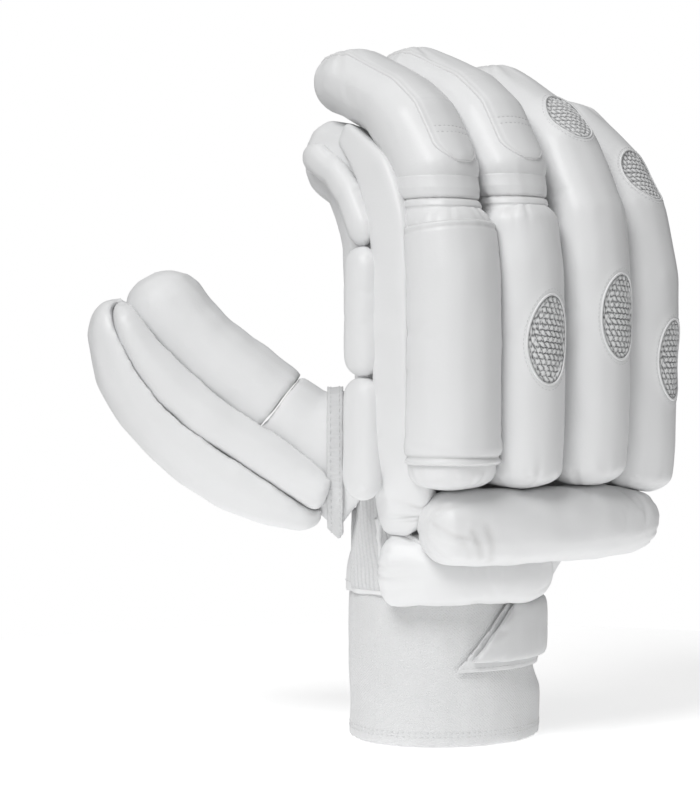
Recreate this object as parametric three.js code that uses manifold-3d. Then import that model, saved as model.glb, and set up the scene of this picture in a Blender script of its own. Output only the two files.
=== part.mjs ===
// A cricket batting glove for a right hand, upright and gripping, as a hand holds it.
// Frame, in millimetres: +Z up from the wrist to the fingers, -Y out from the back of the hand,
// -X towards the thumb. The origin is the centre of the cuff's opening.
import * as THREE from "three";
import { mergeVertices } from "three/addons/utils/BufferGeometryUtils.js";
import Module from "manifold-3d";

const wasm = await Module();
wasm.setup();

// Clearance between neighbouring pieces, and how deep a soft piece is pressed against its neighbour.
const gap = 0.3;
const press = 2.5;

// Knitted cuff: a round-sided tube for the wrist.
const cuffWide = 75;
const cuffDeep = 67;
const cuffTall = 61;
const cuffWall = 3;
const waist = 0.95;

// Hand shell: the leather palm and the padded back, from the hem over the cuff to the finger roots.
const hemHeight = 54;
const rootHeight = 155;
const handDeep = 56;
const handShift = 8;
const handOut = 14.5;
const leather = 2.6;
const backPadding = 7;

// Finger stalls: bent leather tubes, open at the root and closed at the tip.
const fingerPitch = 29.3;
const stallWide = 27.6;
const handWide = 3 * fingerPitch + stallWide - 1.5;
const stallDeep = 39;
const stallWall = 3;
const fingerLength = 92;
const curl = 90;
const arch = 4;

// Rolls on the back of the fingers, sewn on above the knuckle roll.
const rollStart = 95;
const rollWide = 30.5;
const rollDeep = 30;
const leadRollWide = 31;
const jointShare = 0.37;
const rollOverhang = -2;
const littleDrop = 4;
const jointGap = 1.2;

// The smooth wrap on the first roll, the flexing panels on the tips and the oval vents.
const wrapThick = 1.2;
const wrapStart = 8.5;
const wrapEnd = 4;
const panelMargin = 4;
const panelWide = 21;
const panelThick = 1;
const ventWide = 17;
const ventLong = 28;
const ventThick = 0.9;

// Bolsters across the back: one under the finger rolls, one over the wrist.
const knuckleHigh = 26.5;
const knuckleDeep = 30;
const knuckleLong = 107;
const knuckleCurve = 26;
const knuckleAside = 2.5;
const knuckleSunk = 9;
const wristHigh = 26;
const wristDeep = 19;
const wristRollHeight = 64.5;

// Bars along the side of the index finger.
const barWide = 10;
const barDeep = 14.5;
const barLift = 4;
const barStart = -4;
const barEnd = 12;

// Thumb: stall, base, guards on its outer side, all bending in one upright plane.
const thumbYaw = 38;
const thumbStartAcross = -26;
const thumbStartOut = -6;
const thumbStartUp = 92.5;
const thumbRise = 36;
const thumbBaseEnd = 49;
const thumbLength = 118;
const thumbWide = 33;
const thumbDeep = 31;
const guardLong = 118;
const guardWide = 34;
const guardDeep = 28;
const innerGuardLong = 108;
const innerGuardWide = 27;
const innerGuardDeep = 19;
const edgingWide = 6;
const edgingThick = 2;
const edgingAhead = 17;

// Ribbed gusset below the side bars, and the strap with its padded tab on the cuff.
const gussetWide = 26;
const gussetDeep = 18;
const gussetTall = 40;
const gussetHeight = 57;
const gussetThick = 0.9;
const strapTall = 26;
const strapThick = 1;
const strapHeight = 26.8;
const tabTall = 21.5;
const tabThick = 2.2;
const tabHeight = 30.5;
const bandSlant = 41.5;
const bandSpare = 30;
const strapFrom = -110;
const strapTo = 103;
const tabFrom = -60;
const tabTo = 98;

const degree = Math.PI / 180;
const up = new THREE.Vector3(0, 0, 1);
const palm = new THREE.Vector3(0, 1, 0);

// A point from its distance towards the little finger, out from the back of the hand, and up.
const place = (across, out, height) => new THREE.Vector3(across, -out, height);

// A flat path of lines and arcs. Each row runs on for a length and bends by an angle in degrees.
class BendPath {
  constructor({ start, along, towards, angle = 0, rows }) {
    Object.assign(this, { start, along, towards, angle, rows });
    this.side = new THREE.Vector3().crossVectors(towards, along).normalize();
    this.length = rows.reduce((sum, row) => sum + row.run, 0);
  }

  // The place and directions at a distance along the path, which runs straight on past its ends.
  frame(distance) {
    let turned = this.angle * degree;
    let left = distance;
    let [ahead, aside] = [0, 0];
    const walk = (run, bend) => {
      const middle = turned + bend / 2;
      const chord = Math.abs(bend) < 1e-9 ? run : (run * Math.sin(bend / 2)) / (bend / 2);
      ahead += chord * Math.cos(middle);
      aside += chord * Math.sin(middle);
      turned += bend;
    };
    for (const row of this.rows) {
      if (left <= 0) break;
      const run = Math.min(left, row.run);
      walk(run, (row.bend * degree * run) / row.run);
      left -= run;
    }
    if (left > 0 || distance < 0) walk(distance < 0 ? distance : left, 0);
    const centre = this.start.clone().addScaledVector(this.along, ahead).addScaledVector(this.towards, aside);
    const face = this.along.clone().multiplyScalar(Math.sin(turned));
    face.addScaledVector(this.towards, -Math.cos(turned));
    const heading = this.along.clone().multiplyScalar(Math.cos(turned));
    heading.addScaledVector(this.towards, Math.sin(turned));
    return { centre, heading, face, side: this.side };
  }
}

// A level path round an upright oval, from one angle to another, in degrees from +X towards the back.
class WrapPath {
  constructor({ across, out, height, wide, deep, from, to }) {
    Object.assign(this, { across, out, height, wide, deep, from, to });
    this.length = (Math.abs(to - from) * degree * (wide + deep)) / 4;
  }

  frame(distance) {
    const angle = (this.from + ((this.to - this.from) * distance) / this.length) * degree;
    const [c, s] = [Math.cos(angle), Math.sin(angle)];
    const centre = place(this.across + (this.wide / 2) * c, this.out + (this.deep / 2) * s, this.height);
    const face = place(this.deep * c, this.wide * s, 0).normalize();
    const heading = place(-this.wide * s, this.deep * c, 0).normalize();
    if (this.to < this.from) heading.negate();
    return { centre, heading, face, side: up };
  }
}

// The columns of a table at a share of its length, eased from row to row.
function rowAt(rows, share) {
  const next = Math.max(1, rows.findIndex((row) => row.at >= share));
  const [a, b] = [rows[next - 1], rows[next]];
  const linear = THREE.MathUtils.clamp((share - a.at) / (b.at - a.at), 0, 1);
  const eased = linear * linear * (3 - 2 * linear);
  return Object.fromEntries(Object.keys(a).map((key) => [key, a[key] + (b[key] - a[key]) * eased]));
}

// How full a round end is at a distance from it.
const dome = (distance, cap) =>
  cap === 0 || distance >= cap ? 1 : Math.sqrt(1 - (1 - Math.max(distance, 0.03 * cap) / cap) ** 2);

// A solid with oval sections along a path. Each row of its shape holds shares of its sizes:
// wide is along the path's side, deep along its face, shift and lift move the section.
class Tube {
  constructor(spec) {
    const plain = { wide: 1, deep: 1, shift: 0, lift: 0, power: 1 };
    const common = { from: 0, to: spec.path.length, shift: 0, lift: 0, power: 2, sides: 20, step: 8 };
    Object.assign(this, common, { startCap: 0, endCap: 0, thinCaps: false, overrun: 0 }, spec);
    this.shape = (spec.shape ?? [{ at: 0 }, { at: 1 }]).map((row) => ({ ...plain, ...row }));
  }

  // Distances of the sections: close together in a round end, then a step apart or one to a row.
  distances() {
    const inEnd = (cap) => (cap ? [0.03, 0.2, 0.55, 1].map((share) => share * cap) : [0]);
    const low = inEnd(this.startCap).map((run) => this.from + run);
    const high = inEnd(this.endCap).map((run) => this.to - run).reverse();
    const [first, last] = [low.at(-1), high[0]];
    if (this.step === "rows") {
      const inner = this.shape.slice(1, -1).map((row) => this.from + row.at * (this.to - this.from));
      return [...low, ...inner, ...high];
    }
    const count = Math.max(1, Math.round((last - first) / this.step));
    const stride = (last - first) / count;
    const middle = Array.from({ length: count - 1 }, (_, i) => first + stride * (i + 1));
    const changes = (distance) => this.changes(distance - stride, distance) || this.changes(distance, distance + stride);
    return [...low, ...middle.filter(changes), ...high];
  }

  // Whether the path bends or the section changes between two distances.
  changes(near, far) {
    const [a, b] = [near, far].map((distance) => this.path.frame(distance).heading);
    const [c, d] = [near, far].map((distance) => rowAt(this.shape, (distance - this.from) / (this.to - this.from)));
    return a.angleTo(b) > 1e-3 || Object.keys(c).some((key) => key !== "at" && Math.abs(c[key] - d[key]) > 1e-3);
  }

  // One section's points. Grown, the same sections are larger all round, and the end ones stand off.
  ring(distance, grow, standOff) {
    const { centre, heading, face, side } = this.path.frame(distance);
    const share = THREE.MathUtils.clamp((distance - this.from) / (this.to - this.from), 0, 1);
    const row = rowAt(this.shape, share);
    const full = dome(distance - this.from, this.startCap) * dome(this.to - distance, this.endCap);
    const wide = this.wide * row.wide * full + 2 * grow;
    const deep = this.deep * row.deep * (this.thinCaps ? 1 : full) + 2 * grow;
    const middle = centre.clone().addScaledVector(side, this.shift + row.shift * this.wide);
    middle.addScaledVector(face, this.lift + row.lift * this.deep).addScaledVector(heading, standOff);
    const oval = (value) => Math.sign(value) * Math.abs(value) ** (2 / (this.power * row.power));
    return Array.from({ length: this.sides }, (_, i) => {
      const angle = (2 * Math.PI * (i + 0.5)) / this.sides;
      const point = middle.clone().addScaledVector(side, (wide / 2) * oval(Math.cos(angle)));
      return point.addScaledVector(face, (deep / 2) * oval(Math.sin(angle)));
    });
  }

  geometry(grow = 0) {
    const distances = this.distances();
    const past = grow + this.overrun;
    const standOff = (i) => (i === 0 ? -past : i === distances.length - 1 ? past : 0);
    const rings = distances.map((distance, i) => this.ring(distance, grow, standOff(i)));
    const points = rings.flat();
    const faces = [];
    const at = (ring, i) => ring * this.sides + (i % this.sides);
    for (let ring = 0; ring + 1 < rings.length; ring++)
      for (let i = 0; i < this.sides; i++) {
        faces.push([at(ring, i), at(ring + 1, i), at(ring, i + 1)]);
        faces.push([at(ring, i + 1), at(ring + 1, i), at(ring + 1, i + 1)]);
      }
    for (const [ring, turned] of [[0, false], [rings.length - 1, true]]) {
      const middle = points.length;
      points.push(rings[ring].reduce((sum, point) => sum.add(point), place(0, 0, 0)).divideScalar(this.sides));
      for (let i = 0; i < this.sides; i++) {
        const pair = [at(ring, i), at(ring, i + 1)];
        faces.push(turned ? [pair[1], pair[0], middle] : [...pair, middle]);
      }
    }
    const geometry = new THREE.BufferGeometry();
    geometry.setAttribute("position", new THREE.Float32BufferAttribute(points.flatMap((p) => p.toArray()), 3));
    geometry.setIndex(faces.flat());
    return geometry;
  }

  solid(grow = 0) {
    return solidOf(this.geometry(grow));
  }

  // The same tube with some of its values changed.
  with(changes) {
    return new Tube({ ...this, ...changes });
  }
}

// The hollow of a tube: its wall is thin at the sides and the palm, and padded at the back.
function hollowIn(tube, wall, padding) {
  const moved = { wide: tube.wide + padding - wall, lift: tube.lift + (wall - padding) / 2 };
  return tube.with(moved).solid(-(wall + padding) / 2);
}

// A closed geometry as a solid for cutting and joining, faced outwards.
function solidOf(geometry) {
  const bare = geometry.clone();
  bare.deleteAttribute("normal");
  bare.deleteAttribute("uv");
  const merged = mergeVertices(bare, 1e-4);
  const corners = new Uint32Array(merged.index.array);
  const make = () =>
    new wasm.Manifold(
      new wasm.Mesh({ numProp: 3, vertProperties: merged.attributes.position.array, triVerts: corners }),
    );
  const solid = make();
  if (solid.volume() > 0) return solid;
  for (let i = 0; i < corners.length; i += 3) [corners[i], corners[i + 1]] = [corners[i + 1], corners[i]];
  return make();
}

// A solid less others, keeping its main body where a cut leaves crumbs.
function cut(solid, ...tools) {
  const left = tools.reduce((rest, tool) => rest.subtract(tool), solid);
  return left.decompose().sort((a, b) => b.volume() - a.volume())[0];
}

// Finger rows: place across in pitches, arch out in shares of the arch, reach, curl and root height
// in shares, and how far the roll sits aside of its finger, in pitches.
const fingers = [
  { name: "index", place: -1.5, arch: -0.5, reach: 0.9, curl: 0.98, root: 1, aside: 0.045 },
  { name: "middle", place: -0.5, arch: 0.5, reach: 0.95, curl: 0.98, root: 1, aside: 0.02 },
  { name: "ring", place: 0.5, arch: 0.6, reach: 0.88, curl: 0.93, root: 1, aside: 0.115 },
  { name: "little", place: 1.5, arch: -0.3, reach: 0.77, curl: 0.84, root: 0.97, aside: 0.115 },
];

// The bend of a finger from its root: runs in shares of its length, bends in shares of its curl.
const fingerBends = [
  { run: 0.3, bend: 0.04 },
  { run: 0.24, bend: 0.47 },
  { run: 0.12, bend: 0.02 },
  { run: 0.18, bend: 0.43 },
  { run: 0.16, bend: 0.04 },
];

function fingerPath(finger) {
  const length = fingerLength * finger.reach;
  const metacarpal = rootHeight * finger.root - rollStart;
  const rows = fingerBends.map(({ run, bend }) => ({ run: run * length, bend: bend * curl * finger.curl }));
  const across = handShift + finger.place * fingerPitch;
  const path = new BendPath({
    start: place(across, handOut + finger.arch * arch, rollStart),
    along: up,
    towards: palm,
    rows: [{ run: metacarpal, bend: 0 }, ...rows],
  });
  return Object.assign(path, { root: metacarpal, tip: metacarpal + length });
}

const paths = Object.fromEntries(fingers.map((finger) => [finger.name, fingerPath(finger)]));

// Hand shell sections from the hem to the finger roots.
const handShape = [
  { at: 0, wide: 0.686, deep: 1.254, shift: 0, lift: 0, power: 0.88 },
  { at: 0.1, wide: 0.78, deep: 1.24, shift: 0.045, lift: 0.01, power: 0.88 },
  { at: 0.28, wide: 0.84, deep: 1.02, shift: 0.05, lift: 0.13, power: 0.88 },
  { at: 0.5, wide: 0.89, deep: 0.94, shift: 0.053, lift: 0.205, power: 0.95 },
  { at: 0.75, wide: 0.97, deep: 0.87, shift: 0.065, lift: 0.235, power: 1.1 },
  { at: 1, wide: 1.03, deep: 0.79, shift: 0.07, lift: 0.255, power: 1.6 },
];
const handPath = new BendPath({
  start: place(0, 0, hemHeight),
  along: up,
  towards: palm,
  rows: [{ run: rootHeight - hemHeight, bend: 0 }],
});
const handTube = new Tube({
  path: handPath,
  wide: handWide,
  deep: handDeep,
  power: 2.3,
  sides: 20,
  step: "rows",
  shape: handShape,
});
const handHollow = hollowIn(handTube, leather, backPadding);

const stallShape = [
  { at: 0, wide: 1, deep: 1 },
  { at: 0.45, wide: 0.98, deep: 0.98 },
  { at: 0.75, wide: 0.96, deep: 0.84, lift: 0.06 },
  { at: 1, wide: 0.92, deep: 0.72, lift: 0.1 },
];
const stallTubes = Object.fromEntries(
  fingers.map(({ name }) => [
    name,
    new Tube({
      path: paths[name],
      from: rootHeight - rollStart + gap,
      to: paths[name].tip,
      wide: stallWide,
      deep: stallDeep,
      power: 2.5,
      sides: 12,
      step: 12,
      endCap: stallDeep / 4,
      shape: stallShape,
    }),
  ]),
);
const stallHollows = Object.fromEntries(
  Object.entries(stallTubes).map(([name, tube]) => {
    const inside = { from: tube.from - 1.6 * backPadding, sides: 8, step: 16, power: 2 };
    return [name, hollowIn(tube.with(inside), stallWall, backPadding)];
  }),
);

const thumbAway = new THREE.Vector3(-Math.cos(thumbYaw * degree), Math.sin(thumbYaw * degree), 0);
const thumbPath = (rise, rows, ahead = 0, height = 0) =>
  new BendPath({
    start: place(thumbStartAcross, thumbStartOut, thumbStartUp + height).addScaledVector(thumbAway, ahead),
    along: thumbAway,
    towards: up,
    angle: rise,
    rows,
  });
const stallPath = thumbPath(thumbRise, [
  { run: 0.68 * thumbLength, bend: 4 },
  { run: 0.32 * thumbLength, bend: 22 },
]);
const thumbBaseTube = new Tube({
  path: stallPath,
  from: 4,
  to: thumbBaseEnd,
  wide: thumbWide,
  deep: thumbDeep,
  sides: 16,
  step: 11,
  shape: [
    { at: 0, wide: 1.3, deep: 1.9, lift: -0.22 },
    { at: 0.4, wide: 1.14, deep: 1.62, lift: -0.15 },
    { at: 0.75, wide: 1, deep: 1.06 },
    { at: 1, wide: 0.96, deep: 1 },
  ],
});
const thumbStallTube = new Tube({
  path: stallPath,
  from: thumbBaseEnd + gap,
  to: thumbLength,
  wide: thumbWide,
  deep: thumbDeep,
  sides: 16,
  step: 11,
  startCap: 0,
  endCap: thumbDeep / 2.4,
  shape: [
    { at: 0, wide: 1.02, deep: 1.05 },
    { at: 0.55, wide: 1, deep: 0.96 },
    { at: 1, wide: 1.04, deep: 1.02 },
  ],
});
const thumbHollow = thumbStallTube.with({
  from: -4,
  to: thumbLength - stallWall,
  startCap: 12,
  wide: thumbWide - 2 * stallWall,
  deep: thumbDeep - 2 * stallWall,
  sides: 10,
  step: 16,
  shape: [{ at: 0 }, { at: 1 }],
});

const cuffPath = new BendPath({
  start: place(0, 0, 0),
  along: up,
  towards: palm,
  rows: [{ run: cuffTall, bend: 0 }],
});
const cuffTube = new Tube({
  path: cuffPath,
  wide: cuffWide,
  deep: cuffDeep,
  sides: 24,
  step: "rows",
  shape: [
    { at: 0 },
    { at: 0.28 },
    { at: 0.41, wide: waist, shift: (waist - 1) / 2 },
    { at: 0.86, wide: waist, shift: (waist - 1) / 2 },
    { at: 1, wide: waist, deep: waist, shift: (waist - 1) / 2 },
  ],
});

const parts = {};

function makeHand() {
  const inside = { wide: cuffWide - 2 * cuffWall, deep: cuffDeep - 2 * cuffWall };
  const wrist = cuffTube.with({ ...inside, overrun: 1 });
  parts.cuff = cut(cuffTube.solid(), wrist.solid());
  const fingerHoles = Object.values(stallHollows);
  parts.hand_shell = cut(handTube.solid(), handHollow, cuffTube.solid(gap), thumbHollow.solid(), ...fingerHoles);
}

// Each stall is pressed flat against the one before it.
function makeStalls() {
  const hand = handTube.solid(gap);
  fingers.forEach(({ name }, i) => {
    const before = i ? [stallTubes[fingers[i - 1].name].solid(gap)] : [];
    parts[`${name}_stall`] = cut(stallTubes[name].solid(), hand, stallHollows[name], ...before);
  });
  parts.thumb_base = cut(thumbBaseTube.solid(), hand, thumbHollow.solid(), parts.index_stall);
  parts.thumb_stall = cut(thumbStallTube.solid(), hand, thumbHollow.solid());
}

// A roll on the back of a finger: wide and deep are its full sizes.
function fingerRoll(name, spec) {
  const { aside } = fingers.find((finger) => finger.name === name);
  const lift = (stallDeep + spec.deep) / 2 - press;
  return new Tube({ path: paths[name], shift: aside * fingerPitch, lift, power: 2.2, sides: 14, step: 12, ...spec });
}

const baseShape = [
  { at: 0, wide: 0.9, deep: 0.84, lift: -0.04 },
  { at: 0.08, wide: 1, deep: 1, lift: 0 },
  { at: 0.92, wide: 1, deep: 1, lift: 0 },
  { at: 1, wide: 0.96, deep: 0.86, lift: -0.04 },
];
const tipShape = [
  { at: 0, wide: 0.88, deep: 0.86, lift: 0 },
  { at: 0.2, wide: 1, deep: 0.95, lift: 0.01 },
  { at: 0.6, wide: 1, deep: 0.82, lift: -0.02 },
  { at: 1, wide: 0.96, deep: 0.8, lift: -0.05 },
];
const longShape = [
  { at: 0, wide: 0.92, deep: 0.84, lift: -0.04 },
  { at: 0.07, wide: 1, deep: 1, lift: 0 },
  { at: 0.6, wide: 1, deep: 1, lift: 0 },
  { at: 0.8, wide: 0.98, deep: 0.9, lift: -0.03 },
  { at: 1, wide: 0.9, deep: 0.82, lift: -0.06 },
];

const rollTubes = {};
for (const [name, wide] of [["index", leadRollWide], ["middle", rollWide]]) {
  const { root, tip } = paths[name];
  const joint = root + jointShare * (tip - root);
  const base = { from: 0, to: joint, startCap: 4.5, endCap: 3.5, shape: baseShape };
  const end = { from: joint + jointGap, to: tip + rollOverhang, startCap: 4, endCap: rollDeep / 2.2, shape: tipShape };
  rollTubes[`${name}_base_roll`] = fingerRoll(name, { wide, deep: rollDeep, ...base });
  rollTubes[`${name}_tip_roll`] = fingerRoll(name, { wide, deep: rollDeep, ...end });
}
for (const [name, from] of [["ring", 0], ["little", -littleDrop]]) {
  const whole = { from, to: paths[name].tip + rollOverhang, startCap: 6, endCap: rollDeep / 2.2 };
  rollTubes[`${name}_roll`] = fingerRoll(name, { wide: rollWide, deep: rollDeep, ...whole, shape: longShape });
}

// The knuckle roll bows across the back, from the index side to the little finger.
const knucklePath = new BendPath({
  start: place(
    handShift + knuckleAside - knuckleLong / 2,
    handOut + stallDeep / 2 + knuckleDeep / 2 - knuckleSunk,
    rollStart - 1 - knuckleHigh / 2,
  ),
  along: new THREE.Vector3(1, 0, 0),
  towards: palm,
  angle: -knuckleCurve / 2,
  rows: [{ run: knuckleLong, bend: knuckleCurve }],
});
const knuckleTube = new Tube({
  path: knucklePath,
  wide: knuckleHigh,
  deep: knuckleDeep,
  power: 2.1,
  sides: 12,
  step: 16,
  startCap: knuckleHigh / 2.4,
  endCap: knuckleHigh / 1.8,
});

const wristPath = new WrapPath({
  across: 2,
  out: 1,
  height: wristRollHeight,
  wide: handWide * 0.71,
  deep: handDeep * 1.15,
  from: 161,
  to: 68,
});
const wristTube = new Tube({
  path: wristPath,
  wide: wristHigh,
  deep: wristDeep,
  lift: wristDeep / 2 - press - 3,
  power: 2.1,
  sides: 12,
  step: 12,
  startCap: 4,
  endCap: wristHigh / 2.2,
});

// What the rolls are sewn on: they are pressed against it, each with its clearance.
const hand = handTube.solid(gap);
const stalls = fingers.map(({ name }) => stallTubes[name].solid(gap));

// A thin layer over a tube, within a mask.
function overlay(tube, thick, mask) {
  return cut(tube.solid(gap + thick).intersect(mask), tube.solid(gap));
}

function makeRolls() {
  const base = rollTubes.index_base_roll;
  const inset = { from: wrapStart, to: base.to - wrapEnd, startCap: 0, endCap: 0 };
  const wrapMask = base.with({ ...inset, wide: 2 * leadRollWide, deep: 2 * rollDeep, sides: 8 });
  const taken = [];
  for (const [name, tube] of Object.entries(rollTubes)) {
    parts[name] = cut(tube.solid(), hand, ...stalls, ...taken);
    taken.push(tube.solid(gap));
    if (name === "index_base_roll") {
      parts.index_wrap = cut(overlay(tube, wrapThick, wrapMask.solid()), hand, ...stalls);
      taken.push(tube.solid(wrapThick + 2 * gap).intersect(wrapMask.solid(gap)));
    }
  }
  parts.knuckle_roll = cut(knuckleTube.solid(), hand, ...taken);
  parts.wrist_roll = cut(wristTube.solid(), hand, cuffTube.solid(gap), knuckleTube.solid(gap));
}

// Vent rows: the middle of each oval in shares of its roll's length, its turn round the roll
// in degrees towards the little finger, and its length in shares.
const vents = [
  { name: "middle_vent", roll: "middle_base_roll", at: 0.55, turn: 0, long: 1 },
  { name: "ring_vent_lower", roll: "ring_roll", at: 0.43, turn: 8, long: 1 },
  { name: "ring_vent_upper", roll: "ring_roll", at: 0.77, turn: 0, long: 0.8 },
  { name: "little_vent_lower", roll: "little_roll", at: 0.37, turn: 20, long: 0.9 },
  { name: "little_vent_upper", roll: "little_roll", at: 0.74, turn: 10, long: 0.8 },
];

function makeOverlays() {
  for (const { name, roll, at, turn, long } of vents) {
    const tube = rollTubes[roll];
    const { centre, heading, face, side } = tube.path.frame(tube.from + at * (tube.to - tube.from));
    const facing = face.clone().applyAxisAngle(heading, turn * degree);
    const middle = centre.addScaledVector(side, tube.shift).addScaledVector(face, tube.lift);
    const rows = [{ run: tube.deep, bend: 0 }];
    const path = new BendPath({ start: middle, along: facing, towards: heading, rows });
    const mask = new Tube({ path, wide: ventWide, deep: ventLong * long, sides: 14, step: tube.deep });
    parts[name] = overlay(tube, ventThick, mask.solid());
  }
  for (const name of ["index", "middle"]) {
    const tube = rollTubes[`${name}_tip_roll`];
    const mask = tube.with({
      from: tube.from + panelMargin,
      to: tube.to - 2,
      wide: panelWide,
      lift: tube.lift + tube.deep / 2,
      startCap: panelWide / 2,
      endCap: 4,
      thinCaps: true,
      sides: 8,
      shape: [{ at: 0 }, { at: 1 }],
    });
    parts[`${name}_tip_panel`] = overlay(tube, panelThick, mask.solid());
  }
}

// Side bar rows: where each starts and ends along the bars' length, and its sizes in shares.
const sideBars = [
  { name: "side_bar_lower", from: 0, to: 0.315, wide: 1, deep: 1 },
  { name: "side_bar_middle", from: 0.325, to: 0.655, wide: 1, deep: 0.95 },
  { name: "side_bar_upper", from: 0.665, to: 1, wide: 0.8, deep: 0.72 },
];

// Bars of foam along the thumb side of the index finger, end to end.
const barReach = paths.index.tip - barEnd - barStart;
const barTubes = Object.fromEntries(
  sideBars.map(({ name, from, to, wide, deep }) => [
    name,
    new Tube({
      path: paths.index,
      from: barStart + from * barReach,
      to: barStart + to * barReach,
      wide: barWide * wide,
      deep: barDeep * deep,
      shift: -(stallWide + barWide * wide) / 2 + press,
      lift: barLift,
      power: 2.4,
      sides: 10,
      step: 12,
      startCap: 6,
      endCap: 6,
    }),
  ]),
);

function makeSideBars() {
  const rolls = ["index_base_roll", "index_tip_roll"].map((name) => rollTubes[name].solid(wrapThick + 2 * gap));
  for (const [name, tube] of Object.entries(barTubes))
    parts[name] = cut(tube.solid(), hand, stalls[0], ...rolls, knuckleTube.solid(gap));
}

const outerGuardPath = thumbPath(
  10,
  [
    { run: 0.2 * guardLong, bend: 12 },
    { run: 0.5 * guardLong, bend: 34 },
    { run: 0.3 * guardLong, bend: 50 },
  ],
  20,
  -6.5,
);
const innerGuardPath = thumbPath(
  30,
  [
    { run: 0.5 * innerGuardLong, bend: 4 },
    { run: 0.5 * innerGuardLong, bend: 30 },
  ],
  18,
  -1,
);

function makeThumbGuards() {
  const slab = new THREE.BoxGeometry(edgingWide, 3 * thumbWide, 4 * thumbDeep).rotateZ(-thumbYaw * degree);
  const start = place(thumbStartAcross, thumbStartOut, thumbStartUp).addScaledVector(thumbAway, edgingAhead);
  slab.translate(start.x, start.y, start.z);
  const blocks = [hand, thumbStallTube.solid(gap), thumbBaseTube.solid(gap)];
  parts.thumb_edging = cut(overlay(thumbBaseTube, edgingThick, solidOf(slab)), hand, stalls[0]);
  const edging = thumbBaseTube.solid(edgingThick + 2 * gap).intersect(solidOf(slab));
  const inner = new Tube({
    path: innerGuardPath,
    wide: innerGuardWide,
    deep: innerGuardDeep,
    shift: 9,
    sides: 12,
    step: 13,
    startCap: 3,
    endCap: 12,
    shape: [
      { at: 0 },
      { at: 0.6 },
      { at: 1, wide: 0.9, deep: 0.62, lift: -0.14 },
    ],
  });
  const outer = new Tube({
    path: outerGuardPath,
    wide: guardWide,
    deep: guardDeep,
    shift: 3,
    power: 2.2,
    sides: 12,
    step: 14,
    startCap: 8,
    endCap: 13,
    shape: [
      { at: 0, wide: 0.7, deep: 0.75 },
      { at: 0.3, wide: 0.95, deep: 0.95 },
      { at: 0.75, wide: 1, deep: 1 },
      { at: 1, wide: 0.9, deep: 0.9 },
    ],
  });
  parts.thumb_inner_guard = cut(inner.solid(), ...blocks, edging);
  parts.thumb_outer_guard = cut(outer.solid(), inner.solid(gap), ...blocks, edging);
}

// The gusset of ribbed cloth between the thumb and the wrist roll.
function makeGusset() {
  const mask = new THREE.BoxGeometry(gussetWide, gussetDeep, gussetTall);
  const { x, y } = place(-handWide * 0.35, -gussetDeep * 0.2, 0);
  mask.translate(x, y, gussetHeight + gussetTall / 2);
  const roll = rollTubes.index_base_roll.solid(wrapThick + 2 * gap);
  const base = thumbBaseTube.solid(edgingThick + 2 * gap);
  const blocks = [wristTube, knuckleTube, cuffTube, barTubes.side_bar_lower].map((tube) => tube.solid(gap));
  parts.side_gusset = cut(overlay(handTube, gussetThick, solidOf(mask)), base, roll, ...blocks);
}

// A band round the cuff, level, with a slanted end on the back of the hand.
function cuffBand({ height, tall, thick, off, from, slantAt }) {
  const around = { across: (cuffWide * (waist - 1)) / 2, out: 0, wide: cuffWide * waist, deep: cuffDeep };
  const path = new WrapPath({ ...around, height: height + tall / 2, from, to: slantAt + bandSpare });
  const flat = { power: 40, sides: 4, step: 7 };
  const band = new Tube({ path, wide: tall, deep: thick, lift: off + thick / 2, ...flat });
  const { centre, heading, face } = path.frame((path.length * (slantAt - from)) / (slantAt + bandSpare - from));
  const beyond = new THREE.BoxGeometry(cuffWide, cuffDeep, 3 * cuffTall).translate(cuffWide / 2, 0, 0);
  beyond.rotateY(-bandSlant * degree);
  beyond.applyMatrix4(new THREE.Matrix4().makeBasis(heading, face, up).setPosition(centre));
  return { band: band.solid(), grown: band.solid(gap), beyond: solidOf(beyond) };
}

function makeStrap() {
  const over = { height: strapHeight, tall: strapTall, thick: strapThick, off: 2 * gap };
  const strap = cuffBand({ ...over, from: strapFrom, slantAt: strapTo });
  const off = over.off + strapThick + 2 * gap;
  const tab = cuffBand({ height: tabHeight, tall: tabTall, thick: tabThick, off, from: tabFrom, slantAt: tabTo });
  const blocks = [hand, wristTube.solid(gap)];
  parts.cuff_strap = cut(strap.band, strap.beyond, ...blocks);
  parts.cuff_tab = cut(tab.band, tab.beyond, strap.grown, ...blocks);
}

makeHand();
makeStalls();
makeRolls();
makeOverlays();
makeSideBars();
makeThumbGuards();
makeGusset();
makeStrap();

// Finishes: the colour and the roughness of each kind of surface.
const finishes = {
  skin: { color: 0xe8e9e9, roughness: 0.45 },
  leather: { color: 0xe2e3e2, roughness: 0.62 },
  towelling: { color: 0xe4e5e5, roughness: 0.9 },
  cloth: { color: 0xdcdddd, roughness: 0.8 },
  mesh: { color: 0xbbbcbd, roughness: 0.65 },
};

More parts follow.
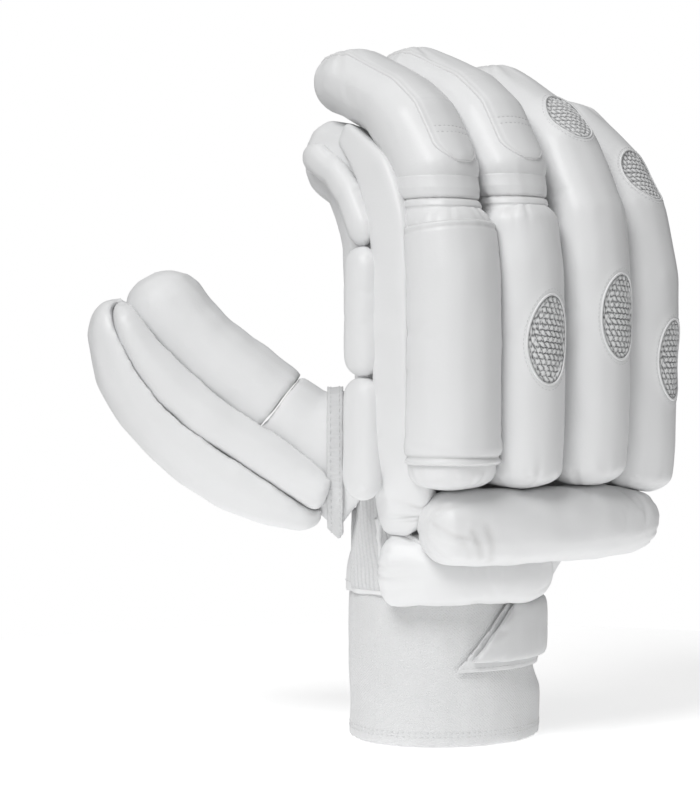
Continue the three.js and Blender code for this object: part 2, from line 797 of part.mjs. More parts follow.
// Assemblies: each one's finish and its pieces, as they are handed in.
const assemblies = [
  { assembly: "hand", finish: "leather", pieces: ["hand_shell"] },
  { assembly: "stalls", finish: "leather", pieces: fingers.map(({ name }) => `${name}_stall`) },
  { assembly: "finger_rolls", finish: "skin", pieces: Object.keys(rollTubes) },
  { assembly: "overlays", finish: "skin", pieces: ["index_wrap", "index_tip_panel", "middle_tip_panel"] },
  { assembly: "vents", finish: "mesh", pieces: vents.map(({ name }) => name) },
  { assembly: "bolsters", finish: "skin", pieces: ["knuckle_roll", "wrist_roll"] },
  { assembly: "side_bars", finish: "skin", pieces: sideBars.map(({ name }) => name) },
  { assembly: "thumb_leather", finish: "leather", pieces: ["thumb_base", "thumb_stall"] },
  { assembly: "thumb_guards", finish: "skin", pieces: ["thumb_inner_guard", "thumb_outer_guard"] },
  { assembly: "trim", finish: "cloth", pieces: ["thumb_edging", "side_gusset"] },
  { assembly: "wrist", finish: "towelling", pieces: ["cuff"] },
  { assembly: "fastening", finish: "skin", pieces: ["cuff_strap", "cuff_tab"] },
];

// A mesh of one solid, with its own middle as its place in its assembly.
function meshOf(name, finish, origin) {
  const { numProp, numVert, vertProperties, triVerts } = parts[name].getMesh();
  const points = new Float32Array(numVert * 3);
  for (let i = 0; i < numVert; i++) points.set(vertProperties.subarray(i * numProp, i * numProp + 3), i * 3);
  const geometry = new THREE.BufferGeometry();
  geometry.setAttribute("position", new THREE.BufferAttribute(points, 3));
  geometry.setIndex(new THREE.BufferAttribute(triVerts, 1));
  geometry.computeBoundingBox();
  const middle = geometry.boundingBox.getCenter(new THREE.Vector3()).round();
  geometry.translate(-middle.x, -middle.y, -middle.z);
  geometry.computeVertexNormals();
  const mesh = new THREE.Mesh(geometry, new THREE.MeshStandardMaterial({ ...finishes[finish], metalness: 0 }));
  mesh.name = name;
  mesh.position.copy(middle).sub(origin);
  return mesh;
}

const glove = new THREE.Group();
glove.name = "glove";
const origins = { thumb_leather: stallPath.start, thumb_guards: stallPath.start, wrist: cuffPath.start };
for (const { assembly, finish, pieces } of assemblies) {
  const group = new THREE.Group();
  group.name = assembly;
  group.position.copy(origins[assembly] ?? handPath.start);
  for (const name of pieces) group.add(meshOf(name, finish, group.position));
  glove.add(group);
}

export default glove;
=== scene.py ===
"""A right-hand cricket batting glove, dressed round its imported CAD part.

Lengths are in metres. Every piece lies in the frame of the CAD part: +Z runs up
from the wrist to the fingers, -Y out of the back of the hand, -X to the thumb.
"""

import logging
import math
from dataclasses import dataclass, field
from enum import Enum
from typing import Sequence

import bpy
import numpy as np
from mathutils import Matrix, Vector
from mathutils.bvhtree import BVHTree


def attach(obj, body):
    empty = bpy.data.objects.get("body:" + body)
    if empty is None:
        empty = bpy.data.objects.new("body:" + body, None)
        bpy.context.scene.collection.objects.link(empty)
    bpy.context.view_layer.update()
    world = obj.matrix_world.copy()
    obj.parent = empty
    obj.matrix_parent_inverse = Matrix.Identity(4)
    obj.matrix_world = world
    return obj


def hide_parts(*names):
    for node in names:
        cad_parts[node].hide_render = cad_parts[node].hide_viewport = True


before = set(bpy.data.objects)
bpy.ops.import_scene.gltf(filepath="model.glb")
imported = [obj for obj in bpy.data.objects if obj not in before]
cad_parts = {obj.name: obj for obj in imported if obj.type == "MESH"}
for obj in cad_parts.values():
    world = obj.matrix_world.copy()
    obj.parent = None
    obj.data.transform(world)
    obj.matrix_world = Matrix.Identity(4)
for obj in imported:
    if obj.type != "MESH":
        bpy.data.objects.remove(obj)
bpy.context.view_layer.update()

MM = 0.001
OVERLAYS = (
    "index_wrap",
    "index_tip_panel",
    "middle_tip_panel",
    "middle_vent",
    "ring_vent_lower",
    "ring_vent_upper",
    "little_vent_lower",
    "little_vent_upper",
)
VENT_ROLLS = {
    "middle_vent": "middle_base_roll",
    "ring_vent_lower": "ring_roll",
    "ring_vent_upper": "ring_roll",
    "little_vent_lower": "little_roll",
    "little_vent_upper": "little_roll",
}
# The side band's two edges, in mm: x, y and z towards the thumb, then towards the rolls.
SIDE_BAND = (
    (-48.0, 6.0, 220.0, -46.0, 4.0, 228.0),
    (-50.5, 0.0, 216.0, -48.0, -6.0, 223.5),
    (-51.5, -6.0, 211.0, -49.5, -17.5, 217.0),
    (-52.5, -12.0, 203.0, -50.3, -25.5, 212.0),
    (-53.0, -17.0, 193.5, -50.5, -31.0, 203.0),
    (-53.5, -19.5, 185.0, -50.8, -36.0, 190.0),
    (-53.8, -21.5, 176.0, -50.8, -37.5, 177.0),
    (-53.8, -22.0, 150.0, -50.8, -37.5, 150.0),
    (-53.6, -22.0, 125.0, -50.6, -37.5, 125.0),
    (-52.5, -22.0, 108.0, -49.0, -38.0, 108.0),
    (-50.0, -18.5, 98.0, -44.5, -41.0, 99.0),
    (-47.0, -14.5, 89.0, -41.5, -40.0, 90.0),
    (-44.0, -14.0, 81.0, -41.0, -33.0, 82.0),
    (-42.0, -16.0, 76.0, -40.5, -26.0, 76.0),
)
log = logging.getLogger("glove")


class Value:
    """A shader socket on which Python's arithmetic adds Math nodes."""

    def __init__(self, shader: "Shader", socket: bpy.types.NodeSocket) -> None:
        """Keeps the socket and the shader it belongs to."""
        self.shader = shader
        self.socket = socket

    def math(self, operation: str, first: object, second: object = 0.0) -> "Value":
        """Adds one Math node.

        Args:
            operation: the Math node's operation.
            first: its first value, a number or a Value.
            second: its second value.

        Returns:
            The node's result.
        """
        return self.shader.node("ShaderNodeMath", {"operation": operation}, {0: first, 1: second})

    def __add__(self, other: object) -> "Value":
        """Adds two values."""
        return self.math("ADD", self, other)

    __radd__ = __add__

    def __sub__(self, other: object) -> "Value":
        """Takes the other value off this one."""
        return self.math("SUBTRACT", self, other)

    def __rsub__(self, other: object) -> "Value":
        """Takes this value off the other one."""
        return self.math("SUBTRACT", other, self)

    def __mul__(self, other: object) -> "Value":
        """Multiplies two values."""
        return self.math("MULTIPLY", self, other)

    __rmul__ = __mul__

    def __pow__(self, other: object) -> "Value":
        """Raises this value to a power."""
        return self.math("POWER", self, other)

    def wave(self) -> "Value":
        """Gives the sine of this value."""
        return self.math("SINE", self)

    def out(self, name: str) -> "Value":
        """Gives another output of the same node."""
        return Value(self.shader, self.socket.node.outputs[name])


class Shader:
    """The nodes of one material."""

    def __init__(self, name: str) -> None:
        """Makes an empty material with its output.

        Args:
            name: the material's name.
        """
        self.material = bpy.data.materials.new(name)
        self.material.use_nodes = True
        self.nodes = self.material.node_tree.nodes
        self.links = self.material.node_tree.links
        self.nodes.clear()
        self.output = self.nodes.new("ShaderNodeOutputMaterial")

    def node(
        self,
        kind: str,
        settings: dict[str, object] | None = None,
        inputs: dict[object, object] | None = None,
        output: object = 0,
    ) -> Value:
        """Adds one node.

        Args:
            kind: the node's type.
            settings: its properties.
            inputs: its sockets' numbers, colours or Values, by name or place.
            output: the output that is wanted, by name or place.

        Returns:
            That output.
        """
        made = self.nodes.new(kind)
        for key, value in (settings or {}).items():
            setattr(made, key, value)
        for key, value in (inputs or {}).items():
            if isinstance(value, Value):
                self.links.new(value.socket, made.inputs[key])
            else:
                made.inputs[key].default_value = value
        return Value(self, made.outputs[output])

    def mix(self, share: object, first: object, second: object) -> Value:
        """Mixes two colours.

        Args:
            share: how much of the second colour shows.
            first: a colour or a Value.
            second: a colour or a Value.

        Returns:
            The mixed colour.
        """
        inputs = {0: share, 6: first, 7: second}
        return self.node("ShaderNodeMix", {"data_type": "RGBA"}, inputs, 2)

    def noise(self, where: Value, scale: float, detail: float = 2.0) -> Value:
        """Adds a noise of so many lumps a metre."""
        inputs = {"Vector": where, "Scale": scale, "Detail": detail}
        return self.node("ShaderNodeTexNoise", None, inputs, "Fac")

    def cells(self, where: Value, scale: float, feature: str = "F1") -> Value:
        """Adds the distances in a pattern of so many cells a metre."""
        inputs = {"Vector": where, "Scale": scale}
        return self.node("ShaderNodeTexVoronoi", {"feature": feature}, inputs, "Distance")

    def place(self) -> Value:
        """Gives the place on the object."""
        return self.node("ShaderNodeTexCoord", None, None, "Object")

    def mark(self, name: str) -> Value:
        """Gives a number that the mesh carries."""
        return self.node("ShaderNodeAttribute", {"attribute_name": name}, None, "Fac")

    def bump(self, height: Value, depth: float, below: Value | None = None) -> Value:
        """Adds a relief to the surface's normal.

        Args:
            height: the relief from 0 to 1.
            depth: how deep it is, in metres.
            below: the normal of a relief that this one lies on.

        Returns:
            The normal.
        """
        inputs = {"Height": height, "Distance": depth, "Strength": 1.0}
        if below:
            inputs["Normal"] = below
        return self.node("ShaderNodeBump", None, inputs)

    def surface(self, inputs: dict[str, object]) -> bpy.types.Material:
        """Adds the Principled shader and joins it to the output.

        Args:
            inputs: the shader's sockets.

        Returns:
            The finished material.
        """
        shader = self.node("ShaderNodeBsdfPrincipled", None, inputs)
        self.links.new(shader.socket, self.output.inputs["Surface"])
        return self.material


def grey(level: float, blue: float = 0.004) -> tuple[float, float, float, float]:
    """Gives a near neutral colour, a little cool where blue is above nought."""
    return (level - blue, level, level + blue, 1.0)


@dataclass(frozen=True)
class SkinFinish:
    """Coated leather: satin, finely grained, a little greyer in its seams, creases and folds, where shade is
    painted.

    Attributes:
        name: the material's name.
        level: how light it is.
        roughness: how matt it is.
        grain: cells of the grain in a metre.
        depth: how deep the grain is.
        coat: how much of a clear coat it has.
    """

    name: str
    level: float
    roughness: float = 0.46
    grain: float = 1500.0
    depth: float = 0.00003
    coat: float = 0.12

    def material(self) -> bpy.types.Material:
        """Builds the finish.

        Returns:
            The finish's material.
        """
        shader = Shader(self.name)
        where = shader.place()
        seam = shader.mark("seam")
        patches = shader.noise(where, 28.0)
        fine = shader.noise(where, 900.0, 3.0)
        cells = shader.cells(where, self.grain, "SMOOTH_F1")
        # Painted shade from the 'seam' mark, darker in grooves, creases and folds, plus random tone from the
        # patches.
        painted_shade_and_tone = seam * 0.55 + (patches - 0.5) * 0.35
        tint = shader.mix(painted_shade_and_tone, grey(self.level), grey(self.level * 0.8, -0.004))
        rough = self.roughness + (patches - 0.5) * 0.14 + (fine - 0.5) * 0.08 + seam * 0.12
        swells = shader.bump(shader.noise(where, 120.0), 0.00010)
        normal = shader.bump(cells * 0.7 + fine * 0.3, self.depth, swells)
        return shader.surface(
            {
                "Base Color": tint,
                "Roughness": rough,
                "Coat Weight": self.coat,
                "Coat Roughness": 0.35,
                "Normal": normal,
            }
        )


@dataclass(frozen=True)
class KnitFinish:
    """Towelling: rows of small loops that stand close together, quite matt.

    Attributes:
        name: the material's name.
        level: how light it is.
        row: height of one row of loops.
        wale: width of one loop.
    """

    name: str
    level: float
    row: float = 0.0011
    wale: float = 0.0013

    def material(self) -> bpy.types.Material:
        """Builds the finish.

        Returns:
            The finish's material.
        """
        shader = Shader(self.name)
        flat = shader.node("ShaderNodeUVMap", {"uv_map": "flat"})
        parts = shader.node("ShaderNodeSeparateXYZ", None, {0: flat}, "X")
        where = shader.place()
        wobble = shader.noise(where, 500.0, 2.0)
        across = (parts * (2 * math.pi / self.wale) + wobble * 2.5).wave()
        up = (parts.out("Y") * (2 * math.pi / self.row) + wobble * 2.5).wave()
        loops = across * up * 0.5 + 0.5
        fluff = shader.cells(where, 1300.0)
        seam = shader.mark("seam")
        shade = shader.noise(where, 40.0)
        # Painted shade in the marked seams and creases and between the loops, with random tone from the
        # noise.
        painted_shade_and_tone = seam * 0.4 + (1 - loops) * 0.10 + (shade - 0.5) * 0.25
        tint = shader.mix(painted_shade_and_tone, grey(self.level), grey(self.level * 0.74))
        height = loops * 0.5 + (1 - fluff) * 0.5
        return shader.surface(
            {
                "Base Color": tint,
                "Roughness": 0.86 + (fluff - 0.5) * 0.1,
                "Sheen Weight": 0.25,
                "Sheen Roughness": 0.5,
                "Normal": shader.bump(height, 0.00022),
            }
        )


@dataclass(frozen=True)
class ClothFinish:
    """Close woven cloth: a plain weave seen as small squares.

    Attributes:
        name: the material's name.
        level: how light it is.
        thread: width of one thread.
        depth: how deep the weave is.
    """

    name: str
    level: float
    thread: float = 0.0007
    depth: float = 0.00008

    def material(self) -> bpy.types.Material:
        """Builds the finish.

        Returns:
            The finish's material.
        """
        shader = Shader(self.name)
        where = shader.place()
        parts = shader.node("ShaderNodeSeparateXYZ", None, {0: where}, "X")
        turn = math.pi / self.thread
        first = ((parts + parts.out("Y")) * turn).wave()
        second = (parts.out("Z") * turn).wave()
        weave = first * second * 0.5 + 0.5
        fluff = shader.noise(where, 1100.0, 3.0)
        seam = shader.mark("seam")
        # Painted shade in the marked seams and creases and between the threads, with random tone from the
        # fluff.
        painted_shade_and_tone = seam * 0.45 + (1 - weave) * 0.14 + (fluff - 0.5) * 0.2
        tint = shader.mix(painted_shade_and_tone, grey(self.level), grey(self.level * 0.7))
        return shader.surface(
            {
                "Base Color": tint,
                "Roughness": 0.78 + (fluff - 0.5) * 0.2,
                "Normal": shader.bump(weave * 0.7 + fluff * 0.3, self.depth),
            }
        )


@dataclass(frozen=True)
class NetFinish:
    """Air mesh: light cords with painted shade in the gaps between them, as the mesh's height says.

    Attributes:
        name: the material's name.
        light: how light the cords are.
        dark: how dark the painted shade in the gaps is.
    """

    name: str
    light: float
    dark: float

    def material(self) -> bpy.types.Material:
        """Builds the finish.

        Returns:
            The finish's material.
        """
        shader = Shader(self.name)
        where = shader.place()
        gap = shader.mark("gap")
        fluff = shader.noise(where, 1600.0, 2.0)
        # The net is a solid sheet: its gaps are painted dark as shade.
        tint = shader.mix(gap, grey(self.light), grey(self.dark))
        return shader.surface(
            {
                "Base Color": tint,
                "Roughness": 0.62 + gap * 0.3,
                "Normal": shader.bump(fluff, 0.00004),
            }
        )


@dataclass(frozen=True)
class ThreadFinish:
    """Sewing thread: a fine twist with a slight gloss.

    Attributes:
        name: the material's name.
        level: how light it is.
    """

    name: str
    level: float

    def material(self) -> bpy.types.Material:
        """Builds the finish.

        Returns:
            The finish's material.
        """
        shader = Shader(self.name)
        where = shader.place()
        twist = shader.noise(where, 2600.0, 2.0)
        tint = shader.mix(twist * 0.5, grey(self.level), grey(self.level * 0.7))
        return shader.surface(
            {
                "Base Color": tint,
                "Roughness": 0.55,
                "Normal": shader.bump(twist, 0.00004),
            }
        )


class Finish(Enum):
    """The finishes of the glove."""

    PADDING = SkinFinish("padding skin", 0.80)
    GUARD = SkinFinish("guard skin", 0.79, 0.5, 1300.0)
    LEATHER = SkinFinish("palm leather", 0.79, 0.62, 1150.0, 0.00006, 0.0)
    # The strap skin, towelling and trim cloth are set darker than the padding: painted shade that offsets the
    # light which the glowing floor throws on the cuff, and darkens the gusset by the thumb.
    STRAP = SkinFinish("strap skin", 0.68, 0.44, 1500.0, 0.00003, 0.15)
    KNIT = KnitFinish("cuff towelling", 0.69)
    CLOTH = ClothFinish("trim cloth", 0.68)
    NET = NetFinish("air mesh", 0.84, 0.16)
    THREAD = ThreadFinish("sewing thread", 0.70)


def material_of(finish: Finish) -> bpy.types.Material:
    """Gives a finish's material, built once."""
    return bpy.data.materials.get(finish.value.name) or finish.value.material()


def only(piece: bpy.types.Object) -> None:
    """Selects one object alone and makes it the active one."""
    bpy.ops.object.select_all(action="DESELECT")
    piece.select_set(True)
    bpy.context.view_layer.objects.active = piece


def shaped(piece: bpy.types.Object, kind: str, **settings: object) -> None:
    """Adds a modifier and applies it.

    Args:
        piece: the object.
        kind: the modifier's type.
        settings: its properties.
    """
    only(piece)
    modifier = piece.modifiers.new(kind.lower(), kind)
    for key, value in settings.items():
        setattr(modifier, key, value)
    bpy.ops.object.modifier_apply(modifier=modifier.name)


def points_of(piece: bpy.types.Object) -> np.ndarray:
    """Gives the mesh's points as rows of x, y, z."""
    flat = np.zeros(len(piece.data.vertices) * 3)
    piece.data.vertices.foreach_get("co", flat)
    return flat.reshape(-1, 3)


def normals_of(piece: bpy.types.Object) -> np.ndarray:
    """Gives the mesh's normals at its points."""
    flat = np.zeros(len(piece.data.vertices) * 3)
    piece.data.vertex_normals.foreach_get("vector", flat)
    return flat.reshape(-1, 3)


def set_points(piece: bpy.types.Object, points: np.ndarray) -> None:
    """Moves the mesh's points."""
    piece.data.vertices.foreach_set("co", points.ravel())
    piece.data.update()


def set_mark(piece: bpy.types.Object, name: str, values: np.ndarray) -> None:
    """Stores a number at each point of the mesh."""
    layer = piece.data.attributes.get(name) or piece.data.attributes.new(name, "FLOAT", "POINT")
    layer.data.foreach_set("value", values.astype(np.float32))


def node_mesh(names: Sequence[str]) -> tuple[np.ndarray, list[tuple[int, ...]]]:
    """Joins the meshes of CAD nodes.

    Args:
        names: the nodes.

    Returns:
        Their points and their faces.
    """
    points, faces, first = [], [], 0
    for name in names:
        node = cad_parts[name]
        points.append(points_of(node))
        faces += [tuple(first + v for v in face.vertices) for face in node.data.polygons]
        first += len(node.data.vertices)
    return np.concatenate(points), faces


def line_mm(*corners: tuple[float, float, float]) -> tuple[tuple[float, float, float], ...]:
    """Turns corners in millimetres into metres."""
    return tuple(tuple(value * MM for value in corner) for corner in corners)


def ripple(points: np.ndarray, length: float, seed: int, waves: int = 10) -> np.ndarray:
    """Gives a smooth, uneven ripple from about -1 to 1.

    Args:
        points: where it is wanted.
        length: the usual length of a wave.
        seed: picks the pattern.
        waves: how many waves are added up.

    Returns:
        The ripple's height at each point.
    """
    maker = np.random.default_rng(seed)
    ways = maker.normal(size=(waves, 3))
    ways /= np.linalg.norm(ways, axis=1)[:, None]
    ways *= (2 * math.pi / length) * maker.uniform(0.6, 1.6, waves)[:, None]
    starts = maker.uniform(0, 2 * math.pi, waves)
    return np.sin(points @ ways.T + starts).sum(axis=1) / math.sqrt(waves) * 0.7


def from_line(points: np.ndarray, line: np.ndarray) -> tuple[np.ndarray, np.ndarray]:
    """Measures how far points lie from a line of straight pieces.

    Args:
        points: the points.
        line: the line's corners.

    Returns:
        Each point's distance, and how far along the line its nearest place is.
    """
    best = np.full(len(points), 1e9)
    along = np.zeros(len(points))
    run = 0.0
    for start, end in zip(line[:-1], line[1:]):
        step = end - start
        length = float(np.linalg.norm(step))
        share = np.clip((points - start) @ step / (length * length), 0, 1)
        gap = np.linalg.norm(points - (start + share[:, None] * step), axis=1)
        nearer = gap < best
        best[nearer] = gap[nearer]
        along[nearer] = run + share[nearer] * length
        run += length
    return best, along


@dataclass(frozen=True)
class Stuffing:
    """How a foam pad swells under its skin.

    Attributes:
        voxel: size of the remeshed faces.
        smooth: rounds of smoothing before the skin swells.
        pressure: how hard the foam presses.
        slack: how much wider the skin is than the foam, as a share.
        swell: the furthest that a point rises or sinks.
        sewn: points nearer than this to what carries the pad stay.
        full: how far the whole skin stands over the CAD solid where there is room.
        frames: steps of the simulation.
        levels: rounds of subdivision after it.
    """

    voxel: float = 0.0017
    smooth: int = 4
    pressure: float = 20.0
    slack: float = 0.035
    swell: float = 0.0010
    sewn: float = 0.0012
    full: float = 0.0005
    frames: int = 14
    levels: int = 1


class Form:
    """A soft piece that grows out of CAD nodes and stands for them."""

    def __init__(self, name: str, nodes: Sequence[str], finish: Finish, slot: str) -> None:
        """Copies the nodes' meshes into a new piece.

        Args:
            name: the piece's name.
            nodes: the CAD nodes that it stands for.
            finish: its finish.
            slot: the record's material slot.
        """
        self.nodes = tuple(nodes)
        points, faces = node_mesh(nodes)
        mesh = bpy.data.meshes.new(name)
        mesh.from_pydata(points.tolist(), [], faces)
        self.piece = bpy.data.objects.new(name, mesh)
        bpy.context.scene.collection.objects.link(self.piece)
        self.finish = finish
        self.slot = slot
        only(self.piece)
        bpy.ops.object.mode_set(mode="EDIT")
        bpy.ops.mesh.select_all(action="SELECT")
        bpy.ops.mesh.remove_doubles(threshold=0.00001)
        bpy.ops.object.mode_set(mode="OBJECT")

    def remesh(self, voxel: float, smooth: int) -> None:
        """Gives the piece even faces and rounds its facets.

        Args:
            voxel: size of the faces.
            smooth: rounds of smoothing.
        """
        shaped(self.piece, "REMESH", mode="VOXEL", voxel_size=voxel)
        if smooth:
            self.relax(smooth)

    def relax(self, rounds: int) -> None:
        """Rounds the facets, and gives the piece back what that takes off it.

        Args:
            rounds: rounds of smoothing.
        """
        start = points_of(self.piece)
        shaped(self.piece, "SMOOTH", iterations=rounds, factor=0.5)
        points, normals = points_of(self.piece), normals_of(self.piece)
        lost = np.einsum("ij,ij->i", start - points, normals).mean()
        set_points(self.piece, points + normals * lost)

    def gaps(self, names: Sequence[str]) -> np.ndarray:
        """Measures how far the piece's points lie from CAD nodes.

        Args:
            names: the nodes.

        Returns:
            The distance at each point.
        """
        if not names:
            return np.full(len(self.piece.data.vertices), 1.0)
        tree = BVHTree.FromPolygons(*map(list, node_mesh(names)))
        found = [tree.find_nearest(point)[3] for point in points_of(self.piece)]
        return np.array(found)

    def room(self) -> np.ndarray:
        """Measures the free room round each point, up to the other CAD nodes."""
        others = [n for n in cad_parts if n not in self.nodes and n not in OVERLAYS]
        return self.gaps(others)

    def fill(self, stuffing: Stuffing, carriers: Sequence[str]) -> None:
        """Lets the skin swell over its foam where it isn't sewn down.

        Args:
            stuffing: how it swells.
            carriers: the CAD nodes that it is sewn to.
        """
        self.remesh(stuffing.voxel, stuffing.smooth)
        start = points_of(self.piece)
        normals = normals_of(self.piece)
        room = self.room()
        sewn = np.clip(1.6 - self.gaps(carriers) / stuffing.sewn, 0, 1)
        moved = self.simulate(stuffing, start, sewn)
        rise = np.einsum("ij,ij->i", moved - start, normals)
        rise = stuffing.swell * np.tanh(rise / (stuffing.swell * 1.5))
        rise -= rise.mean()
        rise = np.minimum(rise + stuffing.full, room * 0.45)
        set_points(self.piece, start + normals * rise[:, None])
        self.relax(1)
        if stuffing.levels:
            levels = stuffing.levels
            shaped(self.piece, "SUBSURF", levels=levels, render_levels=levels)

    def simulate(self, stuffing: Stuffing, start: np.ndarray, sewn: np.ndarray) -> np.ndarray:
        """Runs the cloth simulation, ten times the real size.

        Args:
            stuffing: how the skin swells.
            start: the points at the start.
            sewn: how firmly each point is held.

        Returns:
            The points at its end.
        """
        scale = 10.0
        set_points(self.piece, start * scale)
        group = self.piece.vertex_groups.new(name="sewn")
        for index in np.flatnonzero(sewn > 0.02):
            group.add([int(index)], float(sewn[index]), "REPLACE")
        cloth = self.piece.modifiers.new("cloth", "CLOTH")
        settings = cloth.settings
        settings.quality = 4
        settings.mass = 0.3
        settings.tension_stiffness = 15
        settings.compression_stiffness = 15
        settings.shear_stiffness = 5
        settings.bending_stiffness = 0.5
        settings.use_pressure = True
        settings.uniform_pressure_force = stuffing.pressure
        settings.shrink_min = -stuffing.slack
        settings.effector_weights.gravity = 0
        settings.vertex_group_mass = group.name
        cloth.point_cache.frame_start = 1
        cloth.point_cache.frame_end = stuffing.frames
        for step in range(1, stuffing.frames + 1):
            bpy.context.scene.frame_set(step)
        only(self.piece)
        bpy.ops.object.modifier_apply(modifier=cloth.name)
        bpy.context.scene.frame_set(1)
        self.piece.vertex_groups.clear()
        moved = points_of(self.piece) / scale
        return moved

    def mould(self, *reliefs: "Relief") -> None:
        """Presses seams, creases and puckers into the skin."""
        press(self.piece, *reliefs)

    def done(self, padded: float | None = None) -> bpy.types.Object:
        """Finishes the piece and hangs it on the glove's body.

        Args:
            padded: not used.

        Returns:
            The piece.
        """
        finished(self.piece, self.finish, self.slot, *self.nodes)
        return self.piece


def declare(piece: bpy.types.Object) -> None:
    """Lets a piece ride on the glove's one body and reports it.

    Args:
        piece: the finished piece.
    """
    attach(piece, "root")
    low, high = (points_of(piece).min(axis=0), points_of(piece).max(axis=0))
    size = ", ".join(f"{1000 * side:.1f}" for side in high - low)
    log.info("%s: %d faces, %s mm", piece.name, len(piece.data.polygons), size)


class Relief:
    """Something that raises or sinks a skin."""

    def at(self, points: np.ndarray, normals: np.ndarray) -> tuple[np.ndarray, np.ndarray]:
        """Gives the rise and the 'seam' mark of painted shade at each point.

        Args:
            points: the skin's points.
            normals: its normals.

        Returns:
            The rise in metres, and the mark from 0 to 1.
        """
        raise NotImplementedError


@dataclass(frozen=True)
class Groove(Relief):
    """A sewn channel along a line, or a ridge where its depth is below nought.

    Attributes:
        line: the channel's corners.
        depth: how deep it is.
        width: how wide it is.
        puckers: how strongly the skin gathers beside it, as a share of the depth.
    """

    line: tuple[tuple[float, float, float], ...]
    depth: float = 0.0006
    width: float = 0.0011
    puckers: float = 0.0

    def at(self, points: np.ndarray, normals: np.ndarray) -> tuple[np.ndarray, np.ndarray]:
        """Gives the channel's rise and mark at each point.

        Args:
            points: the skin's points.
            normals: its normals.

        Returns:
            The rise in metres, and the mark from 0 to 1.
        """
        gap, along = from_line(points, np.array(self.line))
        shape = np.exp(-((gap / self.width) ** 2))
        beside = np.exp(-((gap / (self.width * 3.5)) ** 2)) - shape
        rise = -self.depth * shape
        if self.puckers:
            wave = np.sin(along * 2 * math.pi / 0.0042 + 2 * np.sin(along * 410))
            rise = rise + self.depth * self.puckers * beside * wave
        # The mark is painted shade along the channel; a ridge gets none.
        return rise, np.clip(shape * (1 if self.depth > 0 else 0), 0, 1)


@dataclass(frozen=True)
class Gather(Relief):
    """Small folds that run away from a pinched end of a roll.

    Attributes:
        centre: the middle of the end.
        axis: the direction of the roll.
        seed: picks the folds.
        reach: how far they run.
        depth: how deep they are.
    """

    centre: tuple[float, float, float]
    axis: tuple[float, float, float]
    seed: int = 1
    reach: float = 0.006
    depth: float = 0.0003

    @classmethod
    def ends(cls, node: str, seed: int, depth: float = 0.0003) -> tuple["Gather", "Gather"]:
        """Finds both ends of an upright CAD node.

        Args:
            node: the node.
            seed: picks the folds.
            depth: how deep they are.

        Returns:
            The folds of its lower and of its upper end.
        """
        points = points_of(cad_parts[node])
        heights = points[:, 2]
        low = points[heights < heights.min() + 0.006].mean(axis=0)
        high = points[heights > heights.max() - 0.006].mean(axis=0)
        up, down = (0.0, 0.0, 1.0), (0.0, 0.0, -1.0)
        return cls(tuple(low), up, seed, depth=depth), cls(tuple(high), down, seed + 1, depth=depth)

    def at(self, points: np.ndarray, normals: np.ndarray) -> tuple[np.ndarray, np.ndarray]:
        """Gives the folds' rise and mark at each point.

        Args:
            points: the skin's points.
            normals: its normals.

        Returns:
            The rise in metres, and the mark from 0 to 1.
        """
        axis = np.array(self.axis)
        away = points - np.array(self.centre)
        along = away @ axis
        side = np.cross(axis, (0.31, -0.95, 0.05) if abs(axis[2]) > 0.5 else (0.0, 0.0, 1.0))
        side /= np.linalg.norm(side)
        turn = np.arctan2(away @ np.cross(axis, side), away @ side)
        maker = np.random.default_rng(self.seed)
        folds = np.zeros(len(points))
        for count, share in ((7, 0.4), (11, 0.5), (16, 0.45), (23, 0.3)):
            folds += share * np.sin(count * turn + maker.uniform(0, 6.28) + 60 * along)
        fade = np.exp(-((np.abs(along) / self.reach) ** 2)) * (1 + 0.5 * np.sin(3 * turn + self.seed))
        fold = np.clip(-folds, -0.3, 1.0)
        # The mark is painted shade in the folds.
        return -self.depth * fade * fold, np.clip(fade * fold * 0.25, 0, 1)


@dataclass(frozen=True)
class Uneven(Relief):
    """The small unevenness of a stretched skin.

    Attributes:
        height: how high it is.
        length: how long its waves are.
        seed: picks the pattern.
    """

    height: float = 0.0002
    length: float = 0.02
    seed: int = 1

    def at(self, points: np.ndarray, normals: np.ndarray) -> tuple[np.ndarray, np.ndarray]:
        """Gives the unevenness at each point.

        Args:
            points: the skin's points.
            normals: its normals.

        Returns:
            The rise in metres, and the mark from 0 to 1.
        """
        return self.height * ripple(points, self.length, self.seed), np.zeros(len(points))


@dataclass(frozen=True)
class Oval:
    """An oval place on a roll, as its CAD node lies there.

    Attributes:
        centre: the middle of the node's outer face.
        along: the direction of its length.
        across: the direction of its width.
        out: the direction away from the roll.
        long: half its length.
        wide: half its width.
    """

    centre: np.ndarray
    along: np.ndarray
    across: np.ndarray
    out: np.ndarray
    long: float
    wide: float

    @classmethod
    def of(cls, node: str) -> "Oval":
        """Measures the oval of a CAD node.

        Args:
            node: the node.

        Returns:
            The oval.
        """
        points = np.unique(points_of(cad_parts[node]).round(6), axis=0)
        centre = points.mean(axis=0)
        _, axes = np.linalg.eigh(np.cov((points - centre).T))
        out, across, along = axes.T
        out = out * (1 if out[1] < 0 else -1)
        along = along * (1 if along[2] > 0 else -1)
        across = np.cross(out, along)
        long = np.abs((points - centre) @ along).max()
        wide = np.abs((points - centre) @ across).max()
        return cls(centre, along, across, out, float(long), float(wide))

    def flat(self, points: np.ndarray) -> np.ndarray:
        """Gives the points' places across and along the oval, in shares of its half sizes."""
        away = points - self.centre
        return np.stack([away @ self.across / self.wide, away @ self.along / self.long], axis=1)


